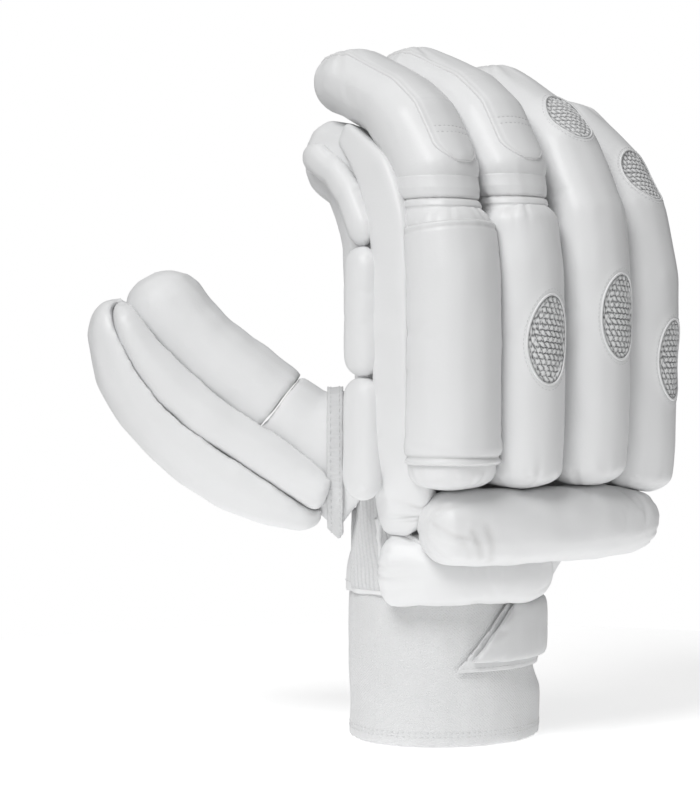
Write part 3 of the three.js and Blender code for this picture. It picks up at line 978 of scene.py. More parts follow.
@dataclass(frozen=True)
class Recess(Relief):
    """The hollow that a vent's net lies in, with a soft lip round it.

    Attributes:
        oval: where it is.
        depth: how deep the hollow is.
        lip: how high the lip is.
    """

    oval: Oval
    depth: float = 0.0007
    lip: float = 0.0003

    def at(self, points: np.ndarray, normals: np.ndarray) -> tuple[np.ndarray, np.ndarray]:
        """Gives the hollow's rise and mark at each point.

        Args:
            points: the skin's points.
            normals: its normals.

        Returns:
            The rise in metres, and the mark from 0 to 1.
        """
        from_middle = np.linalg.norm(self.oval.flat(points), axis=1)
        near = np.abs((points - self.oval.centre) @ self.oval.out) < 0.008
        facing = (normals @ self.oval.out > 0.2) & near
        inside = np.clip((1.02 - from_middle) / 0.12, 0, 1)
        edge = np.exp(-(((from_middle - 1.12) / 0.12) ** 2))
        rise = np.where(facing, self.lip * edge - self.depth * inside, 0)
        # The mark is a ring of painted shade at the hollow's edge.
        return rise, np.where(facing, 0.3 * np.exp(-(((from_middle - 1.0) / 0.06) ** 2)), 0)


class Face:
    """The finished outside of pieces, which thin layers are laid on."""

    def __init__(self, *pieces: bpy.types.Object) -> None:
        """Gathers the pieces' faces.

        Args:
            pieces: what the layers lie on.
        """
        points, faces, first = [], [], 0
        for piece in pieces:
            points += points_of(piece).tolist()
            faces += [[first + v for v in face.vertices] for face in piece.data.polygons]
            first = len(points)
        self.tree = BVHTree.FromPolygons(points, faces)

    def drop(self, start: np.ndarray, way: np.ndarray) -> tuple[Vector, Vector]:
        """Finds where a line meets the face, or the nearest place to its start.

        Args:
            start: where the line starts.
            way: its direction.

        Returns:
            The place and the face's direction there.
        """
        place, normal, _, _ = self.tree.ray_cast(Vector(start), Vector(way))
        if place is None:
            place, normal, _, _ = self.tree.find_nearest(Vector(start))
        return place, normal


class Layer:
    """A thin layer of skin, cloth or net that is laid on a face, row by row."""

    def __init__(
        self,
        name: str,
        face: Face,
        starts: np.ndarray,
        ways: np.ndarray,
        around: bool = False,
    ) -> None:
        """Drops a grid of points on the face.

        Args:
            name: the piece's name.
            face: what it is laid on.
            starts: rows of points outside the face.
            ways: each point's way to the face.
            around: whether each row is a ring, the first one a single point.
        """
        self.rows, self.columns = starts.shape[:2]
        self.around = around
        lines = zip(starts.reshape(-1, 3), ways.reshape(-1, 3))
        points = [tuple(face.drop(start, way)[0]) for start, way in lines]
        mesh = bpy.data.meshes.new(name)
        mesh.from_pydata(points, [], self.faces())
        mesh.update()
        self.piece = bpy.data.objects.new(name, mesh)
        bpy.context.scene.collection.objects.link(self.piece)
        self.out = normals_of(self.piece)
        if np.einsum("ij,ij->i", self.out, ways.reshape(-1, 3)).mean() > 0:
            mesh.flip_normals()
            self.out = -self.out

    def faces(self) -> list[tuple[int, ...]]:
        """Lists the faces between the rows.

        Returns:
            Each face's corners.
        """
        across = self.columns if self.around else self.columns - 1
        made = []
        for row in range(self.rows - 1):
            for column in range(across):
                after = (column + 1) % self.columns
                first, second = row * self.columns, (row + 1) * self.columns
                made.append((first + column, first + after, second + after, second + column))
        return made

    def lift(self, rise: np.ndarray, thick: float) -> None:
        """Raises the layer and gives it its thickness inwards.

        Args:
            rise: how high its outer side stands over the face, by row and column.
            thick: its thickness.
        """
        points = points_of(self.piece)
        set_points(self.piece, points + self.out * rise.reshape(-1)[:, None])
        only(self.piece)
        bpy.ops.object.mode_set(mode="EDIT")
        bpy.ops.mesh.select_all(action="SELECT")
        bpy.ops.mesh.remove_doubles(threshold=0.000004)
        bpy.ops.object.mode_set(mode="OBJECT")
        shaped(self.piece, "SOLIDIFY", thickness=thick, offset=-1.0)

    def done(self, finish: Finish, slot: str, *nodes: str) -> bpy.types.Object:
        """Finishes the layer.

        Args:
            finish: its finish.
            slot: the record's material slot.
            nodes: the CAD nodes that it stands for.

        Returns:
            The piece.
        """
        return finished(self.piece, finish, slot, *nodes)


def lain(corners: Sequence[tuple[float, float, float]], face: Face, step: float, up: float) -> np.ndarray:
    """Lays a line through corners on a face.

    Args:
        corners: the line's corners.
        face: what it lies on.
        step: from one point of the line to the next.
        up: how far it lies over the face.

    Returns:
        The line's points.
    """
    line = np.array(corners)
    run = np.concatenate([[0], np.cumsum(np.linalg.norm(np.diff(line, axis=0), axis=1))])
    stations = np.linspace(0, run[-1], max(int(run[-1] / step), 4))
    even = np.stack([np.interp(stations, run, line[:, k]) for k in range(3)], axis=1)
    for _ in range(int(0.0015 / step)):
        even[1:-1] = (even[:-2] + 2 * even[1:-1] + even[2:]) / 4
    places = []
    for point in even:
        place, out = face.tree.find_nearest(Vector(point))[:2]
        places.append(np.array(place) + np.array(out) * up)
    return np.array(places)


def press(piece: bpy.types.Object, *reliefs: Relief) -> None:
    """Presses seams, creases and puckers into a piece.

    Args:
        piece: the piece.
        reliefs: each gives a rise and a 'seam' mark of painted shade at the points.
    """
    points = points_of(piece)
    normals = normals_of(piece)
    rise = np.zeros(len(points))
    seam = np.zeros(len(points))
    for relief in reliefs:
        more, mark = relief.at(points, normals)
        rise += more
        seam = np.maximum(seam, mark)
    set_points(piece, points + normals * rise[:, None])
    # The 'seam' mark paints shade into the finishes' colour.
    set_mark(piece, "seam", seam)


def loft(name: str, rings: np.ndarray) -> bpy.types.Object:
    """Joins rings of points into a closed skin.

    Args:
        name: the piece's name.
        rings: the points, by ring and place round it.

    Returns:
        The piece.
    """
    rows, sides = rings.shape[:2]
    ends = rings[[0, -1]].mean(axis=1)
    points = np.concatenate([rings.reshape(-1, 3), ends])
    faces = []
    for side in range(sides):
        after = (side + 1) % sides
        faces.append((after, side, rows * sides))
        faces.append(((rows - 1) * sides + side, (rows - 1) * sides + after, rows * sides + 1))
        for row in range(rows - 1):
            low, high = row * sides, (row + 1) * sides
            faces.append((low + side, low + after, high + after, high + side))
    piece = joined(name, [points], [faces])
    only(piece)
    bpy.ops.object.mode_set(mode="EDIT")
    bpy.ops.mesh.select_all(action="SELECT")
    bpy.ops.mesh.normals_make_consistent(inside=False)
    bpy.ops.object.mode_set(mode="OBJECT")
    return piece


def finished(piece: bpy.types.Object, finish: Finish, slot: str, *nodes: str) -> bpy.types.Object:
    """Gives a piece its finish, hides the CAD nodes that it stands for, and hangs it on the glove's body.

    Args:
        piece: the piece.
        finish: its finish.
        slot: not used.
        nodes: the CAD nodes that it stands for.

    Returns:
        The piece.
    """
    only(piece)
    bpy.ops.object.shade_smooth()
    piece.data.materials.clear()
    piece.data.materials.append(material_of(finish))
    if nodes:
        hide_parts(*nodes)
    declare(piece)
    return piece


def joined(name: str, points: list[np.ndarray], faces: list[np.ndarray]) -> bpy.types.Object:
    """Joins small meshes into one object.

    Args:
        name: the object's name.
        points: each mesh's points.
        faces: each mesh's faces.

    Returns:
        The object.
    """
    all_faces, first = [], 0
    for part, shape in zip(points, faces):
        all_faces += [tuple(first + v for v in face) for face in shape]
        first += len(part)
    mesh = bpy.data.meshes.new(name)
    mesh.from_pydata(np.concatenate(points).tolist(), [], all_faces)
    piece = bpy.data.objects.new(name, mesh)
    bpy.context.scene.collection.objects.link(piece)
    return piece


@dataclass(frozen=True)
class Sewing:
    """A row of stitches.

    Attributes:
        pitch: from one stitch to the next.
        length: length of one stitch.
        thick: thickness of the thread.
        sunk: how far the thread sinks into the skin, as a share of its thickness.
    """

    pitch: float = 0.0024
    length: float = 0.0018
    thick: float = 0.00045
    sunk: float = 0.3

    def stitch(self) -> tuple[np.ndarray, list[tuple[int, ...]]]:
        """Models one stitch along X, once.

        Returns:
            Its points and its faces.
        """
        bpy.ops.object.select_all(action="DESELECT")
        bpy.ops.mesh.primitive_uv_sphere_add(segments=8, ring_count=6, radius=0.5)
        ball = bpy.context.active_object
        points = points_of(ball)
        faces = [tuple(face.vertices) for face in ball.data.polygons]
        bpy.data.objects.remove(ball)
        points = points[:, [2, 0, 1]]
        points[:, 0] = np.sign(points[:, 0]) * np.abs(points[:, 0] * 2) ** 0.6 / 2
        points *= (self.length, self.thick, self.thick)
        points[:, 2] -= 4 * self.thick * (points[:, 0] / self.length) ** 2 * 0.5
        return points, faces

    def along(self, name: str, lines: Sequence[np.ndarray], face: Face) -> bpy.types.Object:
        """Sews along lines that lie on a face.

        Args:
            name: the piece's name.
            lines: the lines' points.
            face: what they are sewn through.

        Returns:
            The row of stitches.
        """
        shape, corners = self.stitch()
        points, faces = [], []
        for line in lines:
            steps = np.linalg.norm(np.diff(line, axis=0), axis=1)
            run = np.concatenate([[0], np.cumsum(steps)])
            for at in np.arange(self.pitch / 2, run[-1], self.pitch):
                ends = (max(at - 0.0006, 0), min(at + 0.0006, run[-1]))
                before, after = (np.array([np.interp(t, run, line[:, k]) for k in range(3)]) for t in ends)
                centre, out = face.tree.find_nearest(Vector((before + after) / 2))[:2]
                ahead = after - before
                ahead -= np.array(out) * (ahead @ np.array(out))
                ahead /= np.linalg.norm(ahead)
                side = np.cross(np.array(out), ahead)
                middle = np.array(centre) + np.array(out) * self.thick * (0.5 - self.sunk)
                points.append(middle + shape @ np.stack([ahead, side, np.array(out)]))
                faces.append(corners)
        return finished(joined(name, points, faces), Finish.THREAD, "padding_skin")


def bead(
    name: str,
    line: np.ndarray,
    thick: float,
    finish: Finish,
    slot: str,
    closed: bool = False,
) -> bpy.types.Object:
    """Makes a round cord of skin along a line.

    Args:
        name: the piece's name.
        line: the points of the cord's middle.
        thick: its thickness.
        finish: its finish.
        slot: the record's material slot.
        closed: whether its ends meet.

    Returns:
        The piece.
    """
    curve = bpy.data.curves.new(name, "CURVE")
    curve.dimensions = "3D"
    spline = curve.splines.new("POLY")
    spline.points.add(len(line) - 1)
    spline.points.foreach_set("co", np.c_[line, np.ones(len(line))].ravel())
    spline.use_cyclic_u = closed
    curve.bevel_depth = thick / 2
    curve.bevel_resolution = 3
    curve.use_fill_caps = True
    piece = bpy.data.objects.new(name, curve)
    bpy.context.scene.collection.objects.link(piece)
    only(piece)
    bpy.ops.object.convert(target="MESH")
    return finished(piece, finish, slot)


@dataclass
class Studio:
    """The camera at the photograph's angle, plain soft light and a pale floor.

    Attributes:
        azimuth: the camera's turn round the glove, in degrees.
        elevation: its angle above the horizon, in degrees.
        pixel: how much of the glove one pixel shows, in metres.
        distance: from the camera to the glove.
        floor_radius: the radius of the floor.
    """

    azimuth: float = -38.0
    elevation: float = 1.0
    pixel: float = 1 / 2660
    distance: float = 0.84
    floor_radius: float = 0.35

    def build(self) -> None:
        """Makes the camera, the lights, the world and the floor."""
        scene = bpy.context.scene
        scene.view_settings.view_transform = "Standard"
        self.camera(scene)
        self.world(scene)
        self.light("key light", -66.0, 44.0, 0.6, 9.0)
        self.light("fill light", -50.0, 8.0, 0.9, 1.2)
        self.light("top light", -40.0, 80.0, 0.7, 1.6)
        self.floor()

    def way(self, azimuth: float, elevation: float) -> Vector:
        """Gives the direction from the glove to a place round it."""
        turn, rise = math.radians(azimuth), math.radians(elevation)
        across = math.cos(rise)
        return Vector((math.sin(turn) * across, -math.cos(turn) * across, math.sin(rise)))

    def camera(self, scene: bpy.types.Scene) -> None:
        """Makes the camera and makes it the scene's.

        Args:
            scene: the scene.
        """
        data = bpy.data.cameras.new("camera")
        camera = bpy.data.objects.new("camera", data)
        scene.collection.objects.link(camera)
        turn = math.radians(self.azimuth)
        right = Vector((math.cos(turn), math.sin(turn), 0))
        target = Vector((0, 0, 0.125)) + right * (350 - 445) * self.pixel
        back = self.way(self.azimuth, self.elevation)
        camera.location = target + back * self.distance
        camera.rotation_mode = "QUATERNION"
        camera.rotation_quaternion = (-back).to_track_quat("-Z", "Y")
        data.sensor_width = 36
        data.lens = 18 * self.distance / (400 * self.pixel)
        data.clip_start = 0.01
        scene.camera = camera

    def world(self, scene: bpy.types.Scene) -> None:
        """Makes an even pale world, white where the camera sees it.

        Args:
            scene: the scene.
        """
        world = bpy.data.worlds.new("studio")
        world.use_nodes = True
        tree = world.node_tree
        tree.nodes.clear()
        seen = tree.nodes.new("ShaderNodeBackground")
        seen.inputs["Color"].default_value = (1, 1, 1, 1)
        lit = tree.nodes.new("ShaderNodeBackground")
        lit.inputs["Color"].default_value = (1, 1, 1, 1)
        lit.inputs["Strength"].default_value = 0.27
        path = tree.nodes.new("ShaderNodeLightPath")
        mix = tree.nodes.new("ShaderNodeMixShader")
        output = tree.nodes.new("ShaderNodeOutputWorld")
        tree.links.new(path.outputs["Is Camera Ray"], mix.inputs[0])
        tree.links.new(lit.outputs[0], mix.inputs[1])
        tree.links.new(seen.outputs[0], mix.inputs[2])
        tree.links.new(mix.outputs[0], output.inputs["Surface"])
        scene.world = world

    def light(self, name: str, azimuth: float, elevation: float, size: float, power: float) -> None:
        """Makes one soft box that looks at the glove.

        Args:
            name: the light's name.
            azimuth: its turn round the glove, in degrees.
            elevation: its angle above the horizon, in degrees.
            size: its width.
            power: its strength in watts.
        """
        data = bpy.data.lights.new(name, "AREA")
        data.shape = "DISK"
        data.size = size
        data.energy = power
        lamp = bpy.data.objects.new(name, data)
        bpy.context.scene.collection.objects.link(lamp)
        back = self.way(azimuth, elevation)
        lamp.location = Vector((0, 0, 0.12)) + back * 1.3
        lamp.rotation_mode = "QUATERNION"
        lamp.rotation_quaternion = (-back).to_track_quat("-Z", "Y")

    def floor(self) -> None:
        """Makes the pale floor."""
        bpy.ops.object.select_all(action="DESELECT")
        below = (0, 0, -0.0005)
        size = self.floor_radius
        bpy.ops.mesh.primitive_circle_add(vertices=64, radius=size, fill_type="NGON", location=below)
        floor = bpy.context.active_object
        floor.name = "floor"
        shader = Shader("pale floor")
        shade = shader.noise(shader.place(), 3.0)
        tint = shader.mix(shade, grey(0.93, 0), grey(0.95, 0))
        glow = {"Emission Color": grey(1.0, 0), "Emission Strength": 0.52}
        floor.data.materials.append(shader.surface({"Base Color": tint, "Roughness": 0.9, **glow}))


@dataclass
class FingerPadding:
    """The rolls along the four fingers.

    Attributes:
        long: how the rolls over the finger bones swell.
    """

    long: Stuffing = field(default_factory=Stuffing)

    def build(self) -> dict[str, bpy.types.Object]:
        """Builds each roll.

        Returns:
            The rolls by the name of their node.
        """
        carriers = {
            "index_base_roll": ("hand_shell", "index_stall"),
            "index_tip_roll": ("index_stall",),
            "middle_base_roll": ("hand_shell", "middle_stall"),
            "middle_tip_roll": ("middle_stall",),
            "ring_roll": ("hand_shell", "ring_stall"),
            "little_roll": ("hand_shell", "little_stall"),
        }
        made = {}
        for seed, (node, carried) in enumerate(carriers.items()):
            form = Form(node + "_padding", (node,), Finish.PADDING, "padding_skin")
            form.fill(self.long, carried)
            recesses = [Recess(Oval.of(vent)) for vent, roll in VENT_ROLLS.items() if roll == node]
            form.mould(Uneven(0.00018, 0.022, seed), *Gather.ends(node, seed), *recesses)
            made[node] = form.done(0.8)
        return made


@dataclass
class JointFolds:
    """The folds of skin that join the rolls of the first two fingers.

    Attributes:
        rows: rings from end to end.
        sides: points round a ring.
        length: from end to end.
        crease: height of the crease over the lower end.
        pucker: how deep the puckers at the crease are.
    """

    rows: int = 76
    sides: int = 80
    length: float = 0.0240
    crease: float = 0.0153
    pucker: float = 0.0005

    def build(self, rolls: dict[str, bpy.types.Object]) -> None:
        """Builds both folds.

        Args:
            rolls: the rolls by the name of their node.
        """
        places = {
            "index": ((-0.0347, -0.0444, 0.1810), (-0.0347, -0.0375)),
            "middle": ((-0.0060, -0.0483, 0.1827), (-0.0060, -0.0408)),
        }
        for seed, (finger, (low, high)) in enumerate(places.items()):
            base, tip = (Face(rolls[f"{finger}_{end}_roll"]) for end in ("base", "tip"))
            ends = (np.array(low), np.array((*high, low[2] + self.length)))
            self.fold(finger + "_joint_fold", (base, tip), ends, 80 + seed)

    def fold(
        self,
        name: str,
        faces: tuple[Face, Face],
        ends: tuple[np.ndarray, np.ndarray],
        seed: int,
    ) -> None:
        """Builds one fold.

        Args:
            name: its name.
            faces: the roll under it and the roll over it.
            ends: the middles of its two ends.
            seed: picks its puckers.
        """
        turns = np.linspace(0, 2 * math.pi, self.sides, endpoint=False)
        ways = np.stack([np.sin(turns), -np.cos(turns), np.zeros(self.sides)], axis=1)
        sizes = []
        for face, end in zip(faces, ends):
            hits = [face.tree.ray_cast(Vector(end), Vector(way))[3] for way in ways]
            sizes.append(np.array(hits))
        share = np.linspace(0, 1, self.rows)
        blend = (share * share * (3 - 2 * share))[:, None]
        height = share * self.length * 1000
        depth = np.interp(height, *self.profile())
        crease = np.exp(-(((height - self.crease * 1000) / 2.6) ** 2))[:, None]
        puckers = ripple(np.stack([turns * 0.015, 0 * turns, 0 * turns], axis=1), 0.0045, seed)
        side = (np.sin(turns) ** 2)[None, :]
        size = sizes[0][None, :] * (1 - blend) + sizes[1][None, :] * blend
        gathers = crease * (side + 0.12) * np.clip(puckers + 0.4, 0, 2)[None, :]
        size = size - depth[:, None] * MM - self.pucker * gathers
        middle = ends[0] * (1 - blend) + ends[1] * blend
        middle[:, 2] = ends[0][2] + share * self.length
        rings = middle[:, None, :] + size[..., None] * ways[None, :, :]
        piece = loft(name, rings)
        # The mark is painted shade along the crease.
        seam = np.exp(-(((points_of(piece)[:, 2] - ends[0][2] - self.crease) / 0.0006) ** 2)) * 0.7
        set_mark(piece, "seam", seam)
        finished(piece, Finish.PADDING, "padding_skin")

    @staticmethod
    def profile() -> tuple[tuple[float, ...], tuple[float, ...]]:
        """Gives the depth of the fold under the rolls' skin, in mm by height."""
        heights = (0.0, 1.0, 6.0, 9.5, 11.5, 12.2, 12.8, 14.3, 14.9, 15.3, 15.6, 16.4, 19.0, 23.0, 24.0)
        depths = (0.6, 0.3, 0.3, 1.0, 1.7, 1.7, 1.2, 1.1, 1.5, 2.3, 1.2, 0.7, 0.1, 0.1, 0.5)
        return heights, depths


@dataclass
class Vents:
    """The oval nets in the rolls.

    Attributes:
        cell: from one cord of the net to the next.
        cord: share of a cell that a gap between cords takes.
    """

    cell: float = 0.0020
    cord: float = 0.17

    def build(self, rolls: dict[str, bpy.types.Object]) -> None:
        """Lays each net in its roll's hollow, with a bead round it.

        Args:
            rolls: the rolls by the name of their node.
        """
        for node, roll in VENT_ROLLS.items():
            self.net(node, Face(rolls[roll]), Oval.of(node))

    def net(self, node: str, face: Face, oval: Oval) -> None:
        """Lays one net, its rim and its stitches.

        Args:
            node: the CAD node that it stands for.
            face: its roll.
            oval: where it lies.
        """
        rings, spokes = 40, 104
        share = np.linspace(0, 1, rings)[:, None]
        turn = np.linspace(0, 2 * math.pi, spokes, endpoint=False)[None, :]
        across = share * np.cos(turn) * oval.wide
        along = share * np.sin(turn) * oval.long
        starts = self.over(oval, across, along)
        ways = np.broadcast_to(-oval.out, starts.shape)
        layer = Layer(node + "_net", face, starts, ways, around=True)
        gap = self.gaps(across, along)
        # A ring of painted shade darkens the net's edge where it meets the hollow.
        gap = np.maximum(gap, np.clip((share - 0.95) / 0.03, 0, 1) * 0.6)
        rise = 0.0005 - 0.0004 * gap + 0.0001 * (1 - share)
        set_mark(layer.piece, "gap", gap.reshape(-1))
        layer.lift(rise, 0.0006)
        layer.done(Finish.NET, "vent_mesh", node)
        for number, (grow, thick, up) in enumerate(((1.04, 0.0009, 0.0), (1.16, 0.0004, -0.0001))):
            line = self.over(oval, grow * oval.wide * np.cos(turn), grow * oval.long * np.sin(turn))[0]
            lain = []
            for start in line:
                place, out = face.drop(start, -oval.out)
                lain.append(np.array(place) + np.array(out) * up)
            if number == 0:
                bead(node + "_rim", np.array(lain), thick, Finish.PADDING, "padding_skin", closed=True)
            else:
                lain.append(lain[0])
                sewing = Sewing(pitch=0.0016, length=0.0011, thick=0.00022)
                sewing.along(node + "_stitches", [np.array(lain)], face)

    @staticmethod
    def over(oval: Oval, across: np.ndarray, along: np.ndarray) -> np.ndarray:
        """Gives points over the oval, outside the roll."""
        base = oval.centre + oval.out * 0.012
        return base + across[..., None] * oval.across + along[..., None] * oval.along

    def gaps(self, across: np.ndarray, along: np.ndarray) -> np.ndarray:
        """Gives where the gaps of the net are, which the finish paints dark as shade: level rows and two
        slants.

        Args:
            across: places across the oval.
            along: places along it.

        Returns:
            The gap's mark at each place, from 0 to 1.
        """
        slants = ((along, 1.0), (along * 0.5 - across * 0.866, 1.0), (along * 0.5 + across * 0.866, 0.45))
        made = np.zeros(np.broadcast(across, along).shape)
        for place, strength in slants:
            wobble = 0.06 * np.sin(across * 2900) + 0.06 * np.sin(along * 3300)
            phase = np.abs((place / self.cell + wobble) % 1.0 - 0.5) * 2
            made = np.maximum(made, strength * np.clip((self.cord - phase) / 0.12 + 0.5, 0, 1))
        return made


@dataclass
class WrapBand:
    """The skin wrapped round the roll at the root of the first finger.

    Attributes:
        low: height of its lower end.
        high: height of its upper end.
        reach: how far it goes round the roll on each side, in degrees.
        creases: heights of the small creases, and each one's share of the full depth.
    """

    low: float = 0.1035
    high: float = 0.1870
    reach: float = 118.0
    creases: tuple[tuple[float, float], ...] = (
        (0.1765, 1.0),
        (0.1716, 0.7),
        (0.1650, 0.5),
        (0.1600, 0.8),
        (0.1180, 0.7),
        (0.1135, 1.0),
    )

    def build(self, roll: bpy.types.Object) -> None:
        """Lays the wrap on its roll.

        Args:
            roll: the finished roll.
        """
        face = Face(roll)
        points = points_of(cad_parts["index_base_roll"])
        ends = [points[np.abs(points[:, 2] - z) < 0.008] for z in (0.112, 0.180)]
        low, high = [(end.min(axis=0) + end.max(axis=0)) / 2 for end in ends]
        heights = np.linspace(self.low, self.high, 140)
        turns = np.radians(np.linspace(-self.reach, self.reach, 70))
        share = (heights - 0.112) / (0.180 - 0.112)
        middle = low[None, :2] + share[:, None] * (high - low)[None, :2]
        arch = 0.0016 * np.cos(turns)[None, :]
        starts = np.zeros((len(heights), len(turns), 3))
        starts[..., 0] = middle[:, None, 0] + 0.03 * np.sin(turns)[None, :]
        starts[..., 1] = middle[:, None, 1] - 0.03 * np.cos(turns)[None, :]
        starts[..., 2] = heights[:, None] + arch * np.clip(share, 0, 1)[:, None]
        ways = np.zeros_like(starts)
        ways[..., 0] = -np.sin(turns)[None, :]
        ways[..., 1] = np.cos(turns)[None, :]
        layer = Layer("index_wrap_skin", face, starts, ways)
        up = heights - self.low
        down = self.high - heights
        rise = np.full(len(heights), 0.0010)
        rise += 0.0006 * np.exp(-(((up - 0.0012) / 0.0009) ** 2))
        rise -= 0.0009 * np.exp(-(((up - 0.0027) / 0.0005) ** 2))
        rise += 0.0006 * np.exp(-(((up - 0.0058) / 0.0024) ** 2))
        rise -= 0.0006 * np.exp(-(((down - 0.0021) / 0.0004) ** 2))
        rise *= np.clip(np.minimum(up, down) / 0.0006 + 0.25, 0, 1) ** 0.5
        rise = np.repeat(rise[:, None], len(turns), axis=1)
        side = np.clip((np.degrees(turns) - 5) / 30, 0, 1)[None, :]
        for height, deep in self.creases:
            crease = np.exp(-(((heights - height) / 0.0007) ** 2))[:, None]
            rise -= 0.00016 * deep * crease * side
        rise += 0.00012 * ripple(starts.reshape(-1, 3), 0.03, 70).reshape(rise.shape)
        # The mark is painted shade in the wrap's grooves and along its ends.
        seam = 0.7 * np.exp(-(((up - 0.0027) / 0.0005) ** 2))
        seam += 0.8 * np.exp(-((np.minimum(up, down) / 0.0005) ** 2))
        seam += 0.5 * np.exp(-(((down - 0.0021) / 0.0004) ** 2))
        set_mark(layer.piece, "seam", np.repeat(seam, len(turns)))
        layer.lift(rise, 0.0009)
        layer.done(Finish.PADDING, "padding_skin", "index_wrap")


@dataclass
class TipPanels:
    """The long panels of skin over the tips of the first two fingers.

    Attributes:
        wide: half a panel's width.
        low: where a panel ends over the finger's back, in degrees above level.
        high: where it ends over the finger's tip.
        radius: from the hub of the finger's tip to the panel.
        away: from the hub to where the lines that lay the panel start.
    """

    wide: float = 0.0095
    low: float = 5.0
    high: float = 128.0
    radius: float = 0.045
    away: float = 0.07

    def build(self, rolls: dict[str, bpy.types.Object]) -> None:
        """Lays both panels.

        Args:
            rolls: the rolls by the name of their node.
        """
        index, middle = (Face(rolls[finger + "_tip_roll"]) for finger in ("index", "middle"))
        self.panel("index_tip_panel", index, -0.0342, (-0.008, 0.205), (22.0, 26.0, 44.0, 49.0))
        self.panel("middle_tip_panel", middle, -0.0058, (-0.010, 0.207), (26.0, 30.0, 60.0, 66.0))

    def panel(
        self,
        node: str,
        face: Face,
        across: float,
        hub: tuple[float, float],
        seams: Sequence[float],
    ) -> None:
        """Lays one panel.

        Args:
            node: the CAD node that it stands for.
            face: its roll.
            across: its middle's place along X.
            hub: the Y and Z that the finger's tip turns about.
            seams: the angles of the seams across it.
        """
        turns = np.radians(np.linspace(self.low, self.high, 150))
        shares = np.sin(np.linspace(-math.pi / 2, math.pi / 2, 36))
        run = (turns - turns[0]) * self.radius
        rest = (turns[-1] - turns) * self.radius
        near = np.clip(np.minimum(run, rest * 1.4) / self.wide, 0, 1)
        half = self.wide * np.sqrt(np.clip(1 - (1 - near) ** 2, 0.0004, 1))
        starts = np.zeros((len(turns), len(shares), 3))
        starts[..., 0] = across + half[:, None] * shares[None, :]
        starts[..., 1] = hub[0] - self.away * np.cos(turns)[:, None]
        starts[..., 2] = hub[1] + self.away * np.sin(turns)[:, None]
        ways = np.zeros_like(starts)
        ways[..., 1] = np.cos(turns)[:, None]
        ways[..., 2] = -np.sin(turns)[:, None]
        layer = Layer(node + "_skin", face, starts, ways)
        inward = half[:, None] * (1 - np.abs(shares)[None, :])
        inward = np.minimum(inward, np.minimum(run, rest)[:, None])
        rise = 0.00085 * np.clip(inward / 0.0006 + 0.02, 0, 1) ** 0.5 - 0.0002
        rise -= 0.0002 * np.exp(-(((inward - 0.0016) / 0.00035) ** 2))
        for angle in seams:
            gap = (turns - math.radians(angle))[:, None] * self.radius
            rise -= 0.00022 * np.exp(-((gap / 0.0003) ** 2))
        # The mark is painted shade along the panel's edge and in the groove inside it.
        seam = 0.9 * np.exp(-((inward / 0.0005) ** 2)) + 0.5 * np.exp(-(((inward - 0.0016) / 0.0003) ** 2))
        set_mark(layer.piece, "seam", seam.reshape(-1))
        layer.lift(rise, 0.0008)
        layer.done(Finish.PADDING, "padding_skin", node)
        lines = []
        skin = Face(layer.piece)
        for angle in seams[:2]:
            turn = math.radians(angle)
            way = np.array((0, math.cos(turn), -math.sin(turn)))
            line = []
            for share in np.linspace(-0.8, 0.8, 24):
                middle = np.array((across + self.wide * share, hub[0], hub[1]))
                line.append(np.array(skin.drop(middle - way * self.away, way)[0]))
            lines.append(np.array(line))
        sewing = Sewing(pitch=0.0019, length=0.0011, thick=0.00026)
        sewing.along(node + "_stitches", lines, skin)


@dataclass
class SideBand:
    """The padded strip of skin between the side bars and the first finger's rolls.

    Attributes:
        thick: half its thickness.
    """

    thick: float = 0.0040

    def build(self) -> None:
        """Builds the strip, its inner side sunk into the leather."""
        rows = np.array(SIDE_BAND) * MM
        share = np.linspace(0, 1, 190)
        stations = np.linspace(0, 1, len(rows))
        left = np.stack([np.interp(share, stations, rows[:, k]) for k in range(3)], axis=1)
        right = np.stack([np.interp(share, stations, rows[:, 3 + k]) for k in range(3)], axis=1)
        for _ in range(40):
            left[1:-1] = (left[:-2] + 2 * left[1:-1] + left[2:]) / 4
            right[1:-1] = (right[:-2] + 2 * right[1:-1] + right[2:]) / 4
        out = np.cross(np.gradient((left + right) / 2, axis=0), right - left)
        out /= np.linalg.norm(out, axis=1)[:, None]
        out *= np.where(out[:, 0] > 0, -1, 1)[:, None]
        turns = np.linspace(0, 2 * math.pi, 48, endpoint=False)
        across = np.sign(np.cos(turns)) * np.abs(np.cos(turns)) ** 0.5 / 2
        up = np.sign(np.sin(turns)) * np.abs(np.sin(turns)) ** 0.5
        ends = np.sqrt(1 - (1 - np.clip(np.minimum(share / 0.04, (1 - share) / 0.05), 0, 1)) ** 2)
        middle = (left + right) / 2
        wide = (right - left) * (0.3 + 0.7 * ends)[:, None]
        rings = middle[:, None, :] + across[None, :, None] * wide[:, None, :]
        rings = rings + up[None, :, None] * (out * (self.thick * ends)[:, None])[:, None, :]
        rings -= out[:, None, :] * self.thick
        swell = 0.00025 * ripple(rings.reshape(-1, 3), 0.02, 71).reshape(rings.shape[:2])
        rings += out[:, None, :] * swell[..., None]
        piece = loft("side_band_skin", rings)
        crumple = Gather((-0.043, -0.036, 0.083), (0.4, -0.9, 0.1), 9, 0.010, 0.0006)
        press(piece, crumple)
        finished(piece, Finish.PADDING, "padding_skin")


